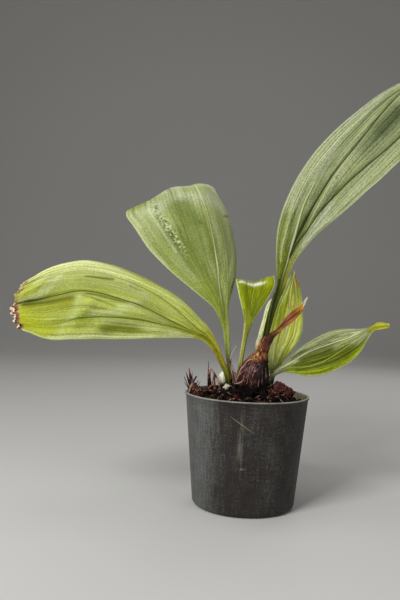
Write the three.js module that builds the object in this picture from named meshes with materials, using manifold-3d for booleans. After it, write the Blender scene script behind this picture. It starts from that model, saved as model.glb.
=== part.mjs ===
// An orchid, Stanhopea tricornis, in a plain plastic nursery pot.
// Millimetres, +Z up. The origin is the middle of the pot's underside,
// X runs to the viewer's right and Y runs away from the viewer.
import * as THREE from 'three';
import { mergeVertices } from 'three/addons/utils/BufferGeometryUtils.js';
import Module from 'manifold-3d';

const wasm = await Module();
wasm.setup();

// Driving dimensions of the pot
const POT_HEIGHT = 108;
const POT_RIM_RADIUS = 60;
const POT_BASE_RADIUS = 50;
const POT_WALL = 1.2;
const POT_FLOOR = 1.6;
const POT_CORNER = 5;
const POT_RIM_BEAD = 0.6;
const POT_RIM_HEIGHT = 2.2;
const POT_SEGMENTS = 48;
const DRAIN_HOLES = 8;
const DRAIN_RADIUS = 4.5;
const DRAIN_CIRCLE = 36;

// Driving dimensions of the mix and its chips; each pair is a least and a most
const MIX_EDGE_HEIGHT = 101;
const MIX_CROWN = 14;
const MIX_CROWN_AT = [-6, -8];
const MIX_CROWN_SPREAD = 27;
const MIX_FRONT_LIFT = 0.05;
const MIX_SIDES = 40;
const MIX_RING_SHARES = [1, 0.86, 0.7, 0.52, 0.34, 0.16];
const MIX_SEED = 41;
const CHIP_COUNT = 50;
const CHIP_REACH = 49;
const CHIP_LENGTH = [7, 16];
const CHIP_WIDTH = [3.5, 7.5];
const CHIP_HEIGHT = [2, 4.5];
const CHIP_TILT = [-0.6, 0.6];
const CHIP_LIFT_SHARE = 0.2;
const BLOCK_ROUGHNESS = 0.22;
const STONE_SEED = 5;
const CHUNK_SEED = 8;

// Clearance between pieces that rest on or stand in each other
const GAP = 0.35;

// Driving dimensions of the leaves
const BLADE_THICKNESS = 0.8;
const PETIOLE_THICKNESS = 4.2;
// Stations over which a stalk flattens into its blade, and over which the pleats open and close
const FLATTENING = 1.5;
const OPENING = 3;
const CLOSING = 2;
// A blade narrower than this has shallower pleats
const FULL_PLEAT_WIDTH = 40;
const KEEL_HEIGHT = 1.3;
const KEEL_WIDTH = 0.13;
// Main veins, as shares of the half width, and the columns of a blade's mesh between them
const VEINS = [0, 0.36, 0.7, 1];
const HALF_COLUMNS = [0, 0.18, 0.36, 0.53, 0.7, 0.85, 1];

const UP = new THREE.Vector3(0, 0, 1);
const RIGHT = new THREE.Vector3(1, 0, 0);
// Past this share of its length along X, a spine counts as lying
const LYING_SHARE = 0.7;
// Small steps along a curve, in stations and in shares of a leaf, that give its direction
const STATION_STEP = 0.05;
const LEAF_STEP = 0.004;

// Solids

function solidOf(geometry) {
  const bare = geometry.clone();
  bare.deleteAttribute('normal');
  bare.deleteAttribute('uv');
  const merged = mergeVertices(bare, 1e-4);
  return new wasm.Manifold(new wasm.Mesh({
    numProp: 3,
    vertProperties: new Float32Array(merged.attributes.position.array),
    triVerts: new Uint32Array(merged.index.array),
  }));
}

function geometryOf(solid) {
  const mesh = solid.getMesh();
  const geometry = new THREE.BufferGeometry();
  geometry.setAttribute('position', new THREE.BufferAttribute(mesh.vertProperties, mesh.numProp));
  geometry.setIndex(new THREE.BufferAttribute(mesh.triVerts, 1));
  geometry.computeVertexNormals();
  return geometry;
}

// The largest connected body, so that a cut leaves no loose crumbs
function largestBody(solid) {
  return solid.decompose().sort((a, b) => b.volume() - a.volume())[0];
}

function geometryFrom(points, faces) {
  const geometry = new THREE.BufferGeometry();
  geometry.setAttribute('position', new THREE.Float32BufferAttribute(points.flatMap((p) => [p.x, p.y, p.z]), 3));
  geometry.setIndex(faces);
  return geometry;
}

// A closed body through rings of equal count, each turning anticlockwise as seen from the far end
function ringBody(rings) {
  const count = rings[0].length;
  const points = rings.flat();
  const faces = [];
  for (let ring = 0; ring + 1 < rings.length; ring += 1) {
    for (let i = 0; i < count; i += 1) {
      const next = (i + 1) % count;
      const a = ring * count + i;
      const b = ring * count + next;
      faces.push(a, b, b + count, a, b + count, a + count);
    }
  }
  for (const [ring, turn] of [[0, 1], [rings.length - 1, -1]]) {
    const middle = points.length;
    points.push(centreOf(rings[ring]));
    for (let i = 0; i < count; i += 1) {
      const a = ring * count + i;
      const b = ring * count + ((i + 1) % count);
      faces.push(...(turn > 0 ? [middle, b, a] : [middle, a, b]));
    }
  }
  return solidOf(geometryFrom(points, faces));
}

function centreOf(points) {
  return points.reduce((sum, p) => sum.add(p), new THREE.Vector3()).divideScalar(points.length);
}

// Curves

function smoothStep(low, high, value) {
  const share = Math.min(1, Math.max(0, (value - low) / (high - low)));
  return share * share * (3 - 2 * share);
}

// A smooth curve through evenly numbered stations; works on vectors
function through(stations, place) {
  const last = stations.length - 1;
  const at = Math.min(Math.max(place, 0), last);
  const first = Math.min(Math.floor(at), last - 1);
  const u = at - first;
  const p1 = stations[first];
  const p2 = stations[first + 1];
  const p0 = stations[first - 1] ?? p1.clone().multiplyScalar(2).sub(p2);
  const p3 = stations[first + 2] ?? p2.clone().multiplyScalar(2).sub(p1);
  return p1.clone().multiplyScalar(2)
    .addScaledVector(p2.clone().sub(p0), u)
    .addScaledVector(p0.clone().multiplyScalar(2).addScaledVector(p1, -5).addScaledVector(p2, 4).sub(p3), u * u)
    .addScaledVector(p1.clone().sub(p2).multiplyScalar(3).add(p3).sub(p0), u * u * u)
    .multiplyScalar(0.5);
}

// Tubes and bulbs: rings round a spine of [x, y, z, radius] stations.
// The outline function gives the radius's share at a turn and a station.
function spineBody(stations, { sides = 8, steps = 1, grow = 0, depth = 1, outline = () => 1 } = {}) {
  const spine = stations.map(([x, y, z]) => new THREE.Vector3(x, y, z));
  const radii = stations.map((station) => new THREE.Vector3(station[3], 0, 0));
  const rows = (stations.length - 1) * steps;
  const overall = spine.at(-1).clone().sub(spine[0]).normalize();
  const level = Math.abs(overall.x) > LYING_SHARE ? UP : RIGHT;
  const rings = [];
  for (let row = 0; row <= rows; row += 1) {
    const place = row / steps;
    const middle = through(spine, place);
    const along = through(spine, place + STATION_STEP).sub(through(spine, place - STATION_STEP)).normalize();
    const side = level.clone().addScaledVector(along, -along.dot(level)).normalize();
    const back = new THREE.Vector3().crossVectors(along, side);
    const radius = through(radii, place).x + grow;
    const end = row === 0 ? -grow : row === rows ? grow : 0;
    middle.addScaledVector(along, end);
    const ring = [];
    for (let i = 0; i < sides; i += 1) {
      const turn = (2 * Math.PI * i) / sides;
      const reach = radius * outline(turn, place / (stations.length - 1));
      ring.push(middle.clone()
        .addScaledVector(side, reach * Math.cos(turn))
        .addScaledVector(back, reach * depth * Math.sin(turn)));
    }
    rings.push(ring);
  }
  return ringBody(rings);
}

// Leaves

// A station of a leaf's stalk: its middle, its width and the lean of that width from level, in degrees
function stalk(x, y, z, width, lean = 0) {
  const turn = THREE.MathUtils.degToRad(lean);
  const dx = (width / 2) * Math.cos(turn);
  const dz = (width / 2) * Math.sin(turn);
  return [[x - dx, y, z - dz], [x, y, z], [x + dx, y, z + dz]];
}

// Each leaf is a list of stations from its foot to its tip. A station has the left edge,
// the midrib and the right edge, as the viewer sees them. A blade starts at station petiole.
// upper is 1 where the viewer sees the upper face and -1 where the underside shows. pleat is the
// height of the arches between the main veins, bow the bulge of the left and right halves, wave
// and waves the height and count of the margin's waves, and tear the raggedness of a torn tip.
const LEAVES = {
  leaf_a: {
    colour: '#b4c24a',
    upper: 1,
    petiole: 3,
    rows: 24,
    pleat: 1.9,
    wave: 1.6,
    waves: 2.6,
    bow: [3, 3],
    tear: 2.4,
    sections: [
      stalk(-17.5, -10, 104, 4.4),
      stalk(-18.5, -10, 115, 4.6, 8),
      stalk(-21.5, -11, 128, 5, 25),
      stalk(-27, -12, 140, 6, 40),
      [[-36, -14, 150], [-33, -13, 153], [-31, -11, 155]],
      [[-46, -18, 159], [-43, -15, 163], [-39, -10, 169]],
      [[-57, -24, 161], [-52, -18, 167], [-47, -8, 178]],
      [[-78, -34, 161], [-73, -22, 179], [-66, -5, 197]],
      [[-105, -48, 161], [-102, -30, 192], [-96, -6, 213]],
      [[-131, -60, 160], [-132, -38, 200], [-129, -10, 225]],
      [[-157, -68, 158], [-160, -46, 202], [-162, -18, 230]],
      [[-180, -74, 157], [-186, -53, 196], [-188, -30, 224]],
      [[-197, -74, 163], [-205, -59, 189], [-203, -42, 214]],
      [[-209, -70, 168], [-217, -62, 183], [-210, -50, 208]],
    ],
  },
  leaf_b: {
    colour: '#9bac6c',
    upper: 1,
    petiole: 3,
    rows: 26,
    pleat: 1.3,
    wave: 1.2,
    waves: 3,
    bow: [11, 3],
    sections: [
      stalk(-16, 3, 104, 4.2),
      stalk(-17, 3, 120, 4.6),
      stalk(-18.8, 3, 137, 5, 6),
      stalk(-20.8, 4, 153, 5.4, 6),
      stalk(-22.8, 5, 169, 6.2, 6),
      [[-31, 5, 182], [-24.5, 6, 183], [-21.5, 8, 184]],
      [[-39, 6, 193], [-26, 8, 195], [-20.5, 13, 197]],
      [[-58, 9, 207], [-28.5, 12, 209], [-17, 24, 211]],
      [[-81, 13, 228], [-32, 18, 228], [-13, 40, 229]],
      [[-103, 20, 250], [-37, 27, 251], [-12, 60, 252]],
      [[-120, 31, 272], [-42, 36, 273], [-15, 73, 273]],
      [[-130, 46, 286], [-48, 47, 293], [-21, 83, 296]],
      [[-133, 64, 291], [-54, 62, 312], [-31, 94, 315]],
      [[-129, 86, 288], [-60, 82, 324], [-42, 106, 328]],
      [[-120, 108, 278], [-66, 106, 326], [-52, 120, 327]],
      [[-108, 128, 266], [-72, 130, 314], [-62, 135, 313]],
      [[-97, 143, 258], [-77, 148, 294], [-71, 148, 292]],
      [[-87, 154, 254], [-80, 158, 272], [-77, 158, 271]],
      [[-83, 160, 258], [-82, 161, 260], [-81, 161, 259]],
    ],
  },
  leaf_c: {
    colour: '#9bb02a',
    upper: 1,
    petiole: 3,
    rows: 20,
    pleat: 0.8,
    wave: 0.8,
    waves: 2,
    bow: [1, 1],
    sections: [
      stalk(-10, 8.5, 112, 4),
      stalk(-8, 8.5, 127, 4.2),
      stalk(-6, 9, 144, 4.4),
      stalk(-3.5, 10, 162, 5),
      [[-5, 11, 178], [-1, 11, 178], [4, 12, 178]],
      [[-7, 11, 189], [1, 12, 191], [11, 13, 190]],
      [[-10, 12, 200], [2, 14, 203], [19, 16, 203]],
      [[-13, 15, 211], [4, 19, 212], [25, 21, 215]],
      [[-14, 21, 218], [5, 26, 217], [27, 26, 225]],
      [[-12, 29, 220], [7, 34, 216], [25, 34, 226]],
      [[-9, 38, 215], [8, 43, 207], [22, 42, 216]],
      [[-3, 46, 202], [9, 49, 196], [18, 48, 201]],
      [[4, 51, 191], [9, 53, 188], [13, 52, 190]],
      [[8, 53, 184], [9, 54, 184], [10, 53, 184]],
    ],
  },
  leaf_d: {
    colour: '#94a468',
    upper: -1,
    petiole: 4,
    rows: 26,
    pleat: 1.9,
    wave: 1.5,
    waves: 3,
    bow: [3, 3],
    sections: [
      stalk(12.5, -3, 142, 5.5),
      stalk(14, -3, 156, 6.5, -10),
      stalk(16, -3, 169, 7.2, -13),
      stalk(19.5, -3, 185, 7.3, -14),
      stalk(24, -3, 201, 7.5, -16),
      [[24.5, -3, 216], [29, -3, 216], [33, -4, 214]],
      [[23.5, -2, 232], [32, -4, 231], [37, -5, 230]],
      [[23, 1, 252], [38, -5, 248], [45, -8, 246]],
      [[25, 5, 277], [51, -8, 271], [60, -12, 266]],
      [[33, 7, 305], [65, -11, 300], [80, -19, 284]],
      [[47, 8, 334], [79, -15, 327], [101, -28, 304]],
      [[67, 6, 360], [97, -21, 353], [119, -37, 322]],
      [[92, 0, 384], [116, -29, 377], [136, -45, 342]],
      [[117, -10, 404], [135, -37, 398], [152, -51, 366]],
      [[141, -21, 417], [152, -45, 413], [163, -56, 388]],
      [[162, -37, 425], [168, -55, 422], [173, -61, 407]],
      [[180, -56, 429], [183, -63, 428], [185, -65, 423]],
      [[192, -68, 431], [193, -69, 430], [194, -69, 429]],
    ],
  },
  leaf_e: {
    colour: '#a2b548',
    upper: 1,
    petiole: 1,
    rows: 18,
    pleat: 1.3,
    wave: 0.8,
    waves: 2,
    bow: [1.5, 1.5],
    sections: [
      stalk(25, 17, 106, 4),
      stalk(26, 17, 120, 4.4),
      [[23, 17, 129], [27, 18, 129], [31, 19, 129]],
      [[16, 16, 140], [28, 18, 139], [37, 20, 139]],
      [[8, 13, 152], [30, 19, 151], [46, 23, 150]],
      [[9.5, 11, 165], [33, 20, 165], [54, 24, 164]],
      [[13, 12, 180], [36, 21, 180], [56, 24, 182]],
      [[18, 14, 197], [39, 22, 196], [55, 24, 198]],
      [[29, 18, 208], [41, 24, 210], [52, 25, 214]],
      [[39, 25, 222], [44, 26, 223], [48, 27, 225]],
      [[44, 28, 231], [45, 28, 232], [46, 28, 231]],
    ],
  },
  leaf_f: {
    colour: '#93a53a',
    upper: 1,
    petiole: 2,
    rows: 20,
    pleat: 1.2,
    wave: 0.8,
    waves: 2,
    bow: [2, 2],
    sections: [
      stalk(20.5, 8, 106, 4),
      stalk(21.5, 8, 117, 4.4, -15),
      stalk(25.5, 8, 126, 5, -40),
      [[31, 9, 134], [33, 8, 132], [35, 6, 129]],
      [[41, 11, 142], [42, 6, 138], [43, -3, 130]],
      [[53, 13, 154], [56, 3, 148], [57, -9, 128]],
      [[67, 13, 164], [71, 0, 156], [73, -15, 131]],
      [[81, 10, 171], [86, -3, 163], [89, -19, 140]],
      [[96, 5, 175], [99, -7, 168], [103, -20, 152]],
      [[109, -3, 176], [110, -10, 173], [113, -16, 167]],
      [[117, -11, 179], [117, -12, 178], [119, -13, 175]],
      [[123, -12, 183], [124, -14, 180], [125, -16, 177]],
      [[132, -17, 183], [133, -18, 181], [132, -19, 179]],
    ],
  },
};

// Arches of one height between the main veins, nought on every vein
function pleatShape(share) {
  for (let i = 0; i + 1 < VEINS.length; i += 1) {
    if (share <= VEINS[i + 1]) {
      return Math.sin((Math.PI * (share - VEINS[i])) / (VEINS[i + 1] - VEINS[i]));
    }
  }
  return 0;
}

// How far a torn end reaches at s, from -1 to 1
function tearShape(s) {
  return 0.6 * Math.sin(17 * s + 1) + 0.4 * Math.sin(31 * s);
}

// The leaf's middle surface at s, from -1 on the left edge to 1 on the right edge,
// and t, from 0 at the foot to 1 at the tip
function leafSurface(leaf) {
  const last = leaf.sections.length - 1;
  const rails = [0, 1, 2].map((rail) => leaf.sections.map((section) => new THREE.Vector3(...section[rail])));
  return (s, t) => {
    const place = t * last;
    const [left, middle, right] = rails.map((rail) => through(rail, place));
    const across = right.clone().sub(left).normalize();
    const along = through(rails[1], place + STATION_STEP).sub(through(rails[1], place - STATION_STEP)).normalize();
    const front = new THREE.Vector3().crossVectors(across, along).normalize();
    const share = Math.abs(s);
    const edge = s < 0 ? left : right;
    const width = right.distanceTo(left);
    const open = smoothStep(leaf.petiole, leaf.petiole + OPENING, place)
      * (leaf.tear ? 1 : 1 - smoothStep(last - CLOSING, last, place));
    const fullness = open * Math.min(1, width / FULL_PLEAT_WIDTH);
    const torn = (leaf.tear ?? 0) * smoothStep(last - 1, last, place) * tearShape(s);
    const lift = leaf.upper * leaf.pleat * pleatShape(share)
      + leaf.upper * leaf.bow[s < 0 ? 0 : 1] * 4 * share * (1 - share)
      + leaf.wave * share * share * Math.sin(2 * Math.PI * leaf.waves * t + (s < 0 ? 0.6 : 2.4));
    return middle.addScaledVector(edge.sub(middle), share)
      .addScaledVector(front, fullness * lift)
      .addScaledVector(along, torn);
  };
}

// Half thickness above and below the middle surface: a round stalk that runs out in a thin blade
// with a keel under its midrib
function leafThickness(leaf, s, t) {
  const place = t * (leaf.sections.length - 1);
  const round = 1 - smoothStep(leaf.petiole, leaf.petiole + FLATTENING, place);
  const stem = (PETIOLE_THICKNESS / 2 - BLADE_THICKNESS / 2) * Math.sqrt(1 - s * s) * round;
  const keel = KEEL_HEIGHT * Math.exp(-((s / KEEL_WIDTH) ** 2)) * (1 - round) * (1 - t);
  const half = BLADE_THICKNESS / 2 + stem;
  return leaf.upper > 0 ? [half, half + keel] : [half + keel, half];
}

function leafSolid(leaf) {
  const surface = leafSurface(leaf);
  const half = leaf.columns ?? HALF_COLUMNS;
  const columns = [...half.slice(1).reverse().map((share) => -share), ...half];
  const fronts = [];
  const backs = [];
  for (let row = 0; row <= leaf.rows; row += 1) {
    const t = row / leaf.rows;
    for (const s of columns) {
      const middle = surface(s, t);
      const across = surface(Math.min(1, s + LEAF_STEP), t).sub(surface(Math.max(-1, s - LEAF_STEP), t));
      const along = surface(s, Math.min(1, t + LEAF_STEP)).sub(surface(s, Math.max(0, t - LEAF_STEP)));
      const front = across.cross(along).normalize();
      const [above, below] = leafThickness(leaf, s, t);
      fronts.push(middle.clone().addScaledVector(front, above));
      backs.push(middle.clone().addScaledVector(front, -below));
    }
  }
  return bladeBody(fronts, backs, columns.length, leaf.rows + 1);
}

// A closed body between two like grids, split into triangles alike on both faces
function bladeBody(fronts, backs, columns, rows) {
  const points = [...fronts, ...backs];
  const under = fronts.length;
  const faces = [];
  const wall = (a, b) => faces.push(a, b, b + under, a, b + under, a + under);
  for (let row = 0; row + 1 < rows; row += 1) {
    for (let column = 0; column + 1 < columns; column += 1) {
      const a = row * columns + column;
      const [b, c, d] = [a + 1, a + columns + 1, a + columns];
      faces.push(a, b, c, a, c, d);
      faces.push(a + under, c + under, b + under, a + under, d + under, c + under);
    }
  }
  const end = (rows - 1) * columns;
  for (let column = 0; column + 1 < columns; column += 1) {
    wall(column + 1, column);
    wall(end + column, end + column + 1);
  }
  for (let row = 0; row + 1 < rows; row += 1) {
    wall(row * columns, (row + 1) * columns);
    wall((row + 2) * columns - 1, (row + 1) * columns - 1);
  }
  return solidOf(geometryFrom(points, faces));
}

// The hole that a leaf's stalk stands in
function stalkHole(leaf, stations) {
  const sides = 12;
  const rings = [];
  const middles = leaf.sections.map((section) => new THREE.Vector3(...section[1]));
  for (let station = 0; station < stations; station += 1) {
    const [left, middle, right] = leaf.sections[station].map((point) => new THREE.Vector3(...point));
    const across = right.clone().sub(left);
    const width = across.length() / 2 + GAP;
    const depth = PETIOLE_THICKNESS / 2 + GAP;
    across.normalize();
    const along = through(middles, station + STATION_STEP).sub(through(middles, station - STATION_STEP)).normalize();
    const back = new THREE.Vector3().crossVectors(along, across).normalize();
    if (station === 0) {
      middle.addScaledVector(along, -GAP);
    }
    const ring = [];
    for (let i = 0; i < sides; i += 1) {
      const turn = (2 * Math.PI * i) / sides;
      const reach = 1 / Math.cos(Math.PI / sides);
      ring.push(middle.clone()
        .addScaledVector(across, width * reach * Math.cos(turn))
        .addScaledVector(back, depth * reach * Math.sin(turn)));
    }
    rings.push(ring);
  }
  return ringBody(rings);
}

// Pot

function potSolid() {
  const inner = POT_BASE_RADIUS - POT_WALL;
  const corner = (radius, bottom, round) => [0, 1, 2, 3].map((i) => {
    const turn = (Math.PI / 6) * i;
    return new THREE.Vector2(radius - round + round * Math.sin(turn), bottom + round - round * Math.cos(turn));
  });
  const profile = [
    new THREE.Vector2(0, 0),
    ...corner(POT_BASE_RADIUS, 0, POT_CORNER),
    new THREE.Vector2(wallRadius(POT_HEIGHT - POT_RIM_HEIGHT - 0.5), POT_HEIGHT - POT_RIM_HEIGHT - 0.5),
    new THREE.Vector2(wallRadius(POT_HEIGHT - POT_RIM_HEIGHT) + POT_RIM_BEAD, POT_HEIGHT - POT_RIM_HEIGHT),
    new THREE.Vector2(POT_RIM_RADIUS + POT_RIM_BEAD, POT_HEIGHT - 0.4),
    new THREE.Vector2(POT_RIM_RADIUS + POT_RIM_BEAD - 0.4, POT_HEIGHT),
    new THREE.Vector2(POT_RIM_RADIUS - POT_WALL, POT_HEIGHT),
    ...corner(inner, POT_FLOOR, POT_CORNER - POT_WALL).reverse(),
    new THREE.Vector2(0, POT_FLOOR),
  ];
  const lathe = new THREE.LatheGeometry(profile, POT_SEGMENTS).rotateX(Math.PI / 2);
  let solid = solidOf(lathe);
  for (let i = 0; i < DRAIN_HOLES; i += 1) {
    const turn = (2 * Math.PI * i) / DRAIN_HOLES;
    const hole = new THREE.CylinderGeometry(DRAIN_RADIUS, DRAIN_RADIUS, 3 * POT_FLOOR, 14).rotateX(Math.PI / 2);
    hole.translate(DRAIN_CIRCLE * Math.cos(turn), DRAIN_CIRCLE * Math.sin(turn), POT_FLOOR / 2);
    solid = solid.subtract(solidOf(hole));
  }
  return solid;
}

// The room inside the pot and above it that the mix may fill
function potRoom() {
  const inner = POT_WALL + GAP;
  const profile = [
    new THREE.Vector2(0, POT_FLOOR + GAP),
    new THREE.Vector2(POT_BASE_RADIUS - POT_CORNER, POT_FLOOR + GAP),
    new THREE.Vector2(wallRadius(POT_CORNER + 1) - inner, POT_CORNER + 1),
    new THREE.Vector2(POT_RIM_RADIUS - inner, POT_HEIGHT + GAP),
    new THREE.Vector2(POT_RIM_RADIUS + POT_CORNER, POT_HEIGHT + GAP),
    new THREE.Vector2(POT_RIM_RADIUS + POT_CORNER, 2 * POT_HEIGHT),
    new THREE.Vector2(0, 2 * POT_HEIGHT),
  ];
  return solidOf(new THREE.LatheGeometry(profile, POT_SEGMENTS).rotateX(Math.PI / 2));
}

// The pot's outer radius at a height on its straight wall
function wallRadius(z) {
  return POT_BASE_RADIUS + ((POT_RIM_RADIUS - POT_BASE_RADIUS) * (z - POT_CORNER)) / (POT_HEIGHT - POT_CORNER);
}

// Mix

// The height of the mix: a mound off the middle with lumps on it, fuller towards the front
function mixHeight(x, y) {
  const [crownX, crownY] = MIX_CROWN_AT;
  const away = ((x - crownX) ** 2 + (y - crownY) ** 2) / (2 * MIX_CROWN_SPREAD ** 2);
  const lumps = 1.3 * Math.sin(0.21 * x + 1.3) * Math.cos(0.19 * y - 0.4)
    + 0.9 * Math.sin(0.43 * x - 0.37 * y + 2)
    + 0.5 * Math.sin(0.85 * x + 0.62 * y);
  return MIX_EDGE_HEIGHT + MIX_CROWN * Math.exp(-away) - MIX_FRONT_LIFT * y + lumps;
}

function mixBody() {
  const ringAt = (place) => Array.from({ length: MIX_SIDES }, (_, i) => {
    const turn = (2 * Math.PI * i) / MIX_SIDES;
    return place(Math.cos(turn), Math.sin(turn));
  });
  const inner = POT_WALL + GAP;
  const floor = POT_FLOOR + GAP;
  const flat = POT_BASE_RADIUS - POT_CORNER;
  const low = POT_CORNER + 1;
  const rings = [
    ringAt((c, s) => new THREE.Vector3(flat * c, flat * s, floor)),
    ringAt((c, s) => new THREE.Vector3((wallRadius(low) - inner) * c, (wallRadius(low) - inner) * s, low)),
  ];
  for (const share of MIX_RING_SHARES) {
    rings.push(ringAt((c, s) => {
      const guess = mixHeight(c * POT_RIM_RADIUS, s * POT_RIM_RADIUS);
      const radius = (wallRadius(Math.min(guess, POT_HEIGHT)) - inner) * share;
      return new THREE.Vector3(radius * c, radius * s, mixHeight(radius * c, radius * s));
    }));
  }
  return ringBody(rings);
}

// Random numbers from 0 to 1, the same on every run
function seeded(seed) {
  let state = seed;
  return () => {
    state = (state * 1664525 + 1013904223) % 4294967296;
    return state / 4294967296;
  };
}

function between([low, high], random) {
  return low + (high - low) * random();
}

// A rough block with its corners moved about
function block(length, width, height, random, steps = 1) {
  const geometry = new THREE.BoxGeometry(length, width, height, steps, steps, steps);
  geometry.deleteAttribute('normal');
  geometry.deleteAttribute('uv');
  const merged = mergeVertices(geometry);
  const place = merged.attributes.position;
  const share = () => between([1 - BLOCK_ROUGHNESS, 1 + BLOCK_ROUGHNESS], random);
  for (let i = 0; i < place.count; i += 1) {
    place.setXYZ(i, place.getX(i) * share(), place.getY(i) * share(), place.getZ(i) * share());
  }
  return merged;
}

// Splinters that stand up at the left of the mound: foot, tip and thickness
const SPLINTERS = [
  [[-50, -7, 103], [-58, -5, 131], 4.4],
  [[-48, -9, 103], [-50, -12, 125], 4],
  [[-52, -5, 103], [-60, -3, 123], 3.4],
  [[-29, -12, 110], [-38, -12, 133], 4],
  [[-26, -15, 110], [-34, -13, 128], 4.4],
  [[-38, -18, 104], [-31, -22, 119], 3],
];

function splinter([foot, tip, thickness]) {
  const middle = foot.map((value, i) => (value + tip[i]) / 2);
  const stations = [[...foot, thickness / 2], [...middle, thickness / 2.2], [...tip, 0.3]];
  return spineBody(stations, { sides: 4, steps: 1, depth: 0.6 });
}

function mixSolid(holes) {
  const random = seeded(MIX_SEED);
  const pieces = SPLINTERS.map(splinter);
  for (let i = 0; i < CHIP_COUNT; i += 1) {
    const reach = CHIP_REACH * Math.sqrt(random());
    const turn = 2 * Math.PI * random();
    const x = reach * Math.cos(turn);
    const y = reach * Math.sin(turn);
    const height = between(CHIP_HEIGHT, random);
    const geometry = block(between(CHIP_LENGTH, random), between(CHIP_WIDTH, random), height, random);
    geometry.rotateX(between(CHIP_TILT, random));
    geometry.rotateY(between(CHIP_TILT, random));
    geometry.rotateZ(2 * Math.PI * random());
    geometry.translate(x, y, mixHeight(x, y) + CHIP_LIFT_SHARE * height);
    pieces.push(solidOf(geometry));
  }
  const heap = wasm.Manifold.union([mixBody(), ...pieces]).intersect(potRoom());
  return largestBody(heap.subtract(wasm.Manifold.union(holes)));
}

// Rhizome, pseudobulbs and roots

const BACK_BULBS = [
  { stations: [[-17, -4, 98, 5], [-17, -4, 103, 8.6], [-17, -4, 110, 8.4], [-17, -4, 116, 4.8]], depth: 1.25 },
  { stations: [[-10, 6, 99, 5], [-10, 6, 106, 8], [-10, 6, 114, 8.4], [-9.5, 7, 121, 6], [-9, 8, 125, 4]] },
  { stations: [[23, 13, 98, 6], [23, 13, 104, 9.4], [23, 13, 111, 9], [23.5, 13, 117, 5.6]], depth: 1.1 },
];

const RHIZOME = [[-20, -6, 99, 4.5], [-9, 0, 99, 5.5], [4, -2, 99, 6], [14, 6, 99, 5.5], [24, 14, 99, 4.5]];

const ROOTS = [
  [[-17, -6, 99, 2], [-24, -14, 84, 1.8], [-30, -16, 64, 1.6], [-29, -24, 44, 1.4]],
  [[-8, 0, 98, 2], [-8, 8, 82, 1.8], [-14, 18, 62, 1.6], [-10, 26, 40, 1.4]],
  [[6, -2, 97, 2.2], [8, -14, 80, 2], [4, -24, 60, 1.8], [10, -28, 36, 1.5]],
  [[22, 12, 99, 2], [30, 18, 84, 1.8], [32, 14, 64, 1.6], [36, 12, 44, 1.4]],
];

function ribbed(ribs, depthShare) {
  return (turn) => 1 - depthShare * (0.5 - 0.5 * Math.cos(ribs * turn));
}

function rhizomeSolid(grow) {
  const parts = [
    spineBody(RHIZOME, { sides: 8, steps: 1, grow }),
    ...BACK_BULBS.map(({ stations, depth }) => spineBody(stations, {
      sides: 14, steps: 1, grow, depth, outline: ribbed(7, grow > 0 ? 0 : 0.1),
    })),
    ...ROOTS.map((stations) => spineBody(stations, { sides: 5, steps: 1, grow: grow * 1.2 })),
  ];
  return wasm.Manifold.union(parts);
}

const MAIN_BULB = [
  [1, -4, 104, 8],
  [2.5, -4, 112, 12.5],
  [5.5, -4, 121, 14.4],
  [9.3, -4, 131, 13.4],
  [12.4, -4, 140, 9.6],
  [14.4, -4, 148, 6.9],
  [15.6, -4, 156, 6.1],
];

function mainBulbBody(grow) {
  const ridges = (turn, share) => 1 + (grow > 0 ? 0.07 : 0.05 * Math.sin(11 * turn + 9 * share)
    + 0.03 * Math.sin(7 * turn - 5 * share));
  return spineBody(MAIN_BULB, { sides: 26, steps: 2, grow, outline: ridges });
}

// The dry bract that the sheath runs out in: stations of left edge, middle and right edge
const BRACT = {
  columns: [0, 0.5, 1],
  upper: 1,
  petiole: -2,
  rows: 14,
  pleat: 0,
  wave: 0.4,
  waves: 2,
  bow: [0, 0],
  sections: [
    [[8.5, -6, 141], [13.5, -10.5, 139], [19.5, -7, 137]],
    [[9.5, -7, 151], [14.5, -11, 149], [20, -7.5, 147]],
    [[13, -8, 159], [18, -11.5, 156.5], [22, -8.5, 154]],
    [[20.5, -9.5, 168.5], [24, -12.5, 166], [27, -10, 163]],
    [[31, -11.5, 179], [33.5, -14, 176], [36, -12, 173.5]],
    [[42, -13.5, 190], [45, -15.5, 187.5], [47.5, -14, 185]],
    [[49, -16, 197.5], [50.5, -16.8, 196.5], [52, -16, 195]],
    [[53, -17, 204.5], [53.6, -17, 204], [54.2, -17, 203.5]],
  ],
};

// Assembly

const plant = new THREE.Group();
plant.name = 'potted_stanhopea_tricornis';

function addPiece(name, solid, colour, roughness) {
  const material = new THREE.MeshStandardMaterial({ color: colour, roughness, metalness: 0 });
  const mesh = new THREE.Mesh(geometryOf(solid), material);
  mesh.name = name;
  plant.add(mesh);
}

const stalkHoles = {
  leaf_a: stalkHole(LEAVES.leaf_a, 3),
  leaf_b: stalkHole(LEAVES.leaf_b, 3),
  leaf_c: stalkHole(LEAVES.leaf_c, 3),
  leaf_d: stalkHole(LEAVES.leaf_d, 3),
  leaf_e: stalkHole(LEAVES.leaf_e, 2),
  leaf_f: stalkHole(LEAVES.leaf_f, 3),
};

// Small things beside the stalks
const YOUNG_BULB = [
  [-24, -5, 108, 2],
  [-24.5, -5, 114, 3.6],
  [-24.8, -5, 121, 4.1],
  [-24.6, -5, 127, 3.2],
  [-24.2, -5, 131, 1],
];
const REMNANT = [
  [-12, -9, 117, 2.4],
  [-13, -9, 124, 2.9],
  [-15.5, -8.5, 131, 1.9],
  [-18.6, -8, 139, 0.8],
  [-18, -8, 146, 0.5],
  [-12.5, -8, 155, 0.4],
];
const STONE = { at: [-21.5, -19, 114.5], size: [5, 4, 8], turn: 0.5, seed: STONE_SEED, steps: 1 };
const CHUNK = { at: [33.5, -9, 111.5], size: [19, 12, 14], turn: 0.5, seed: CHUNK_SEED, steps: 3 };

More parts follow.
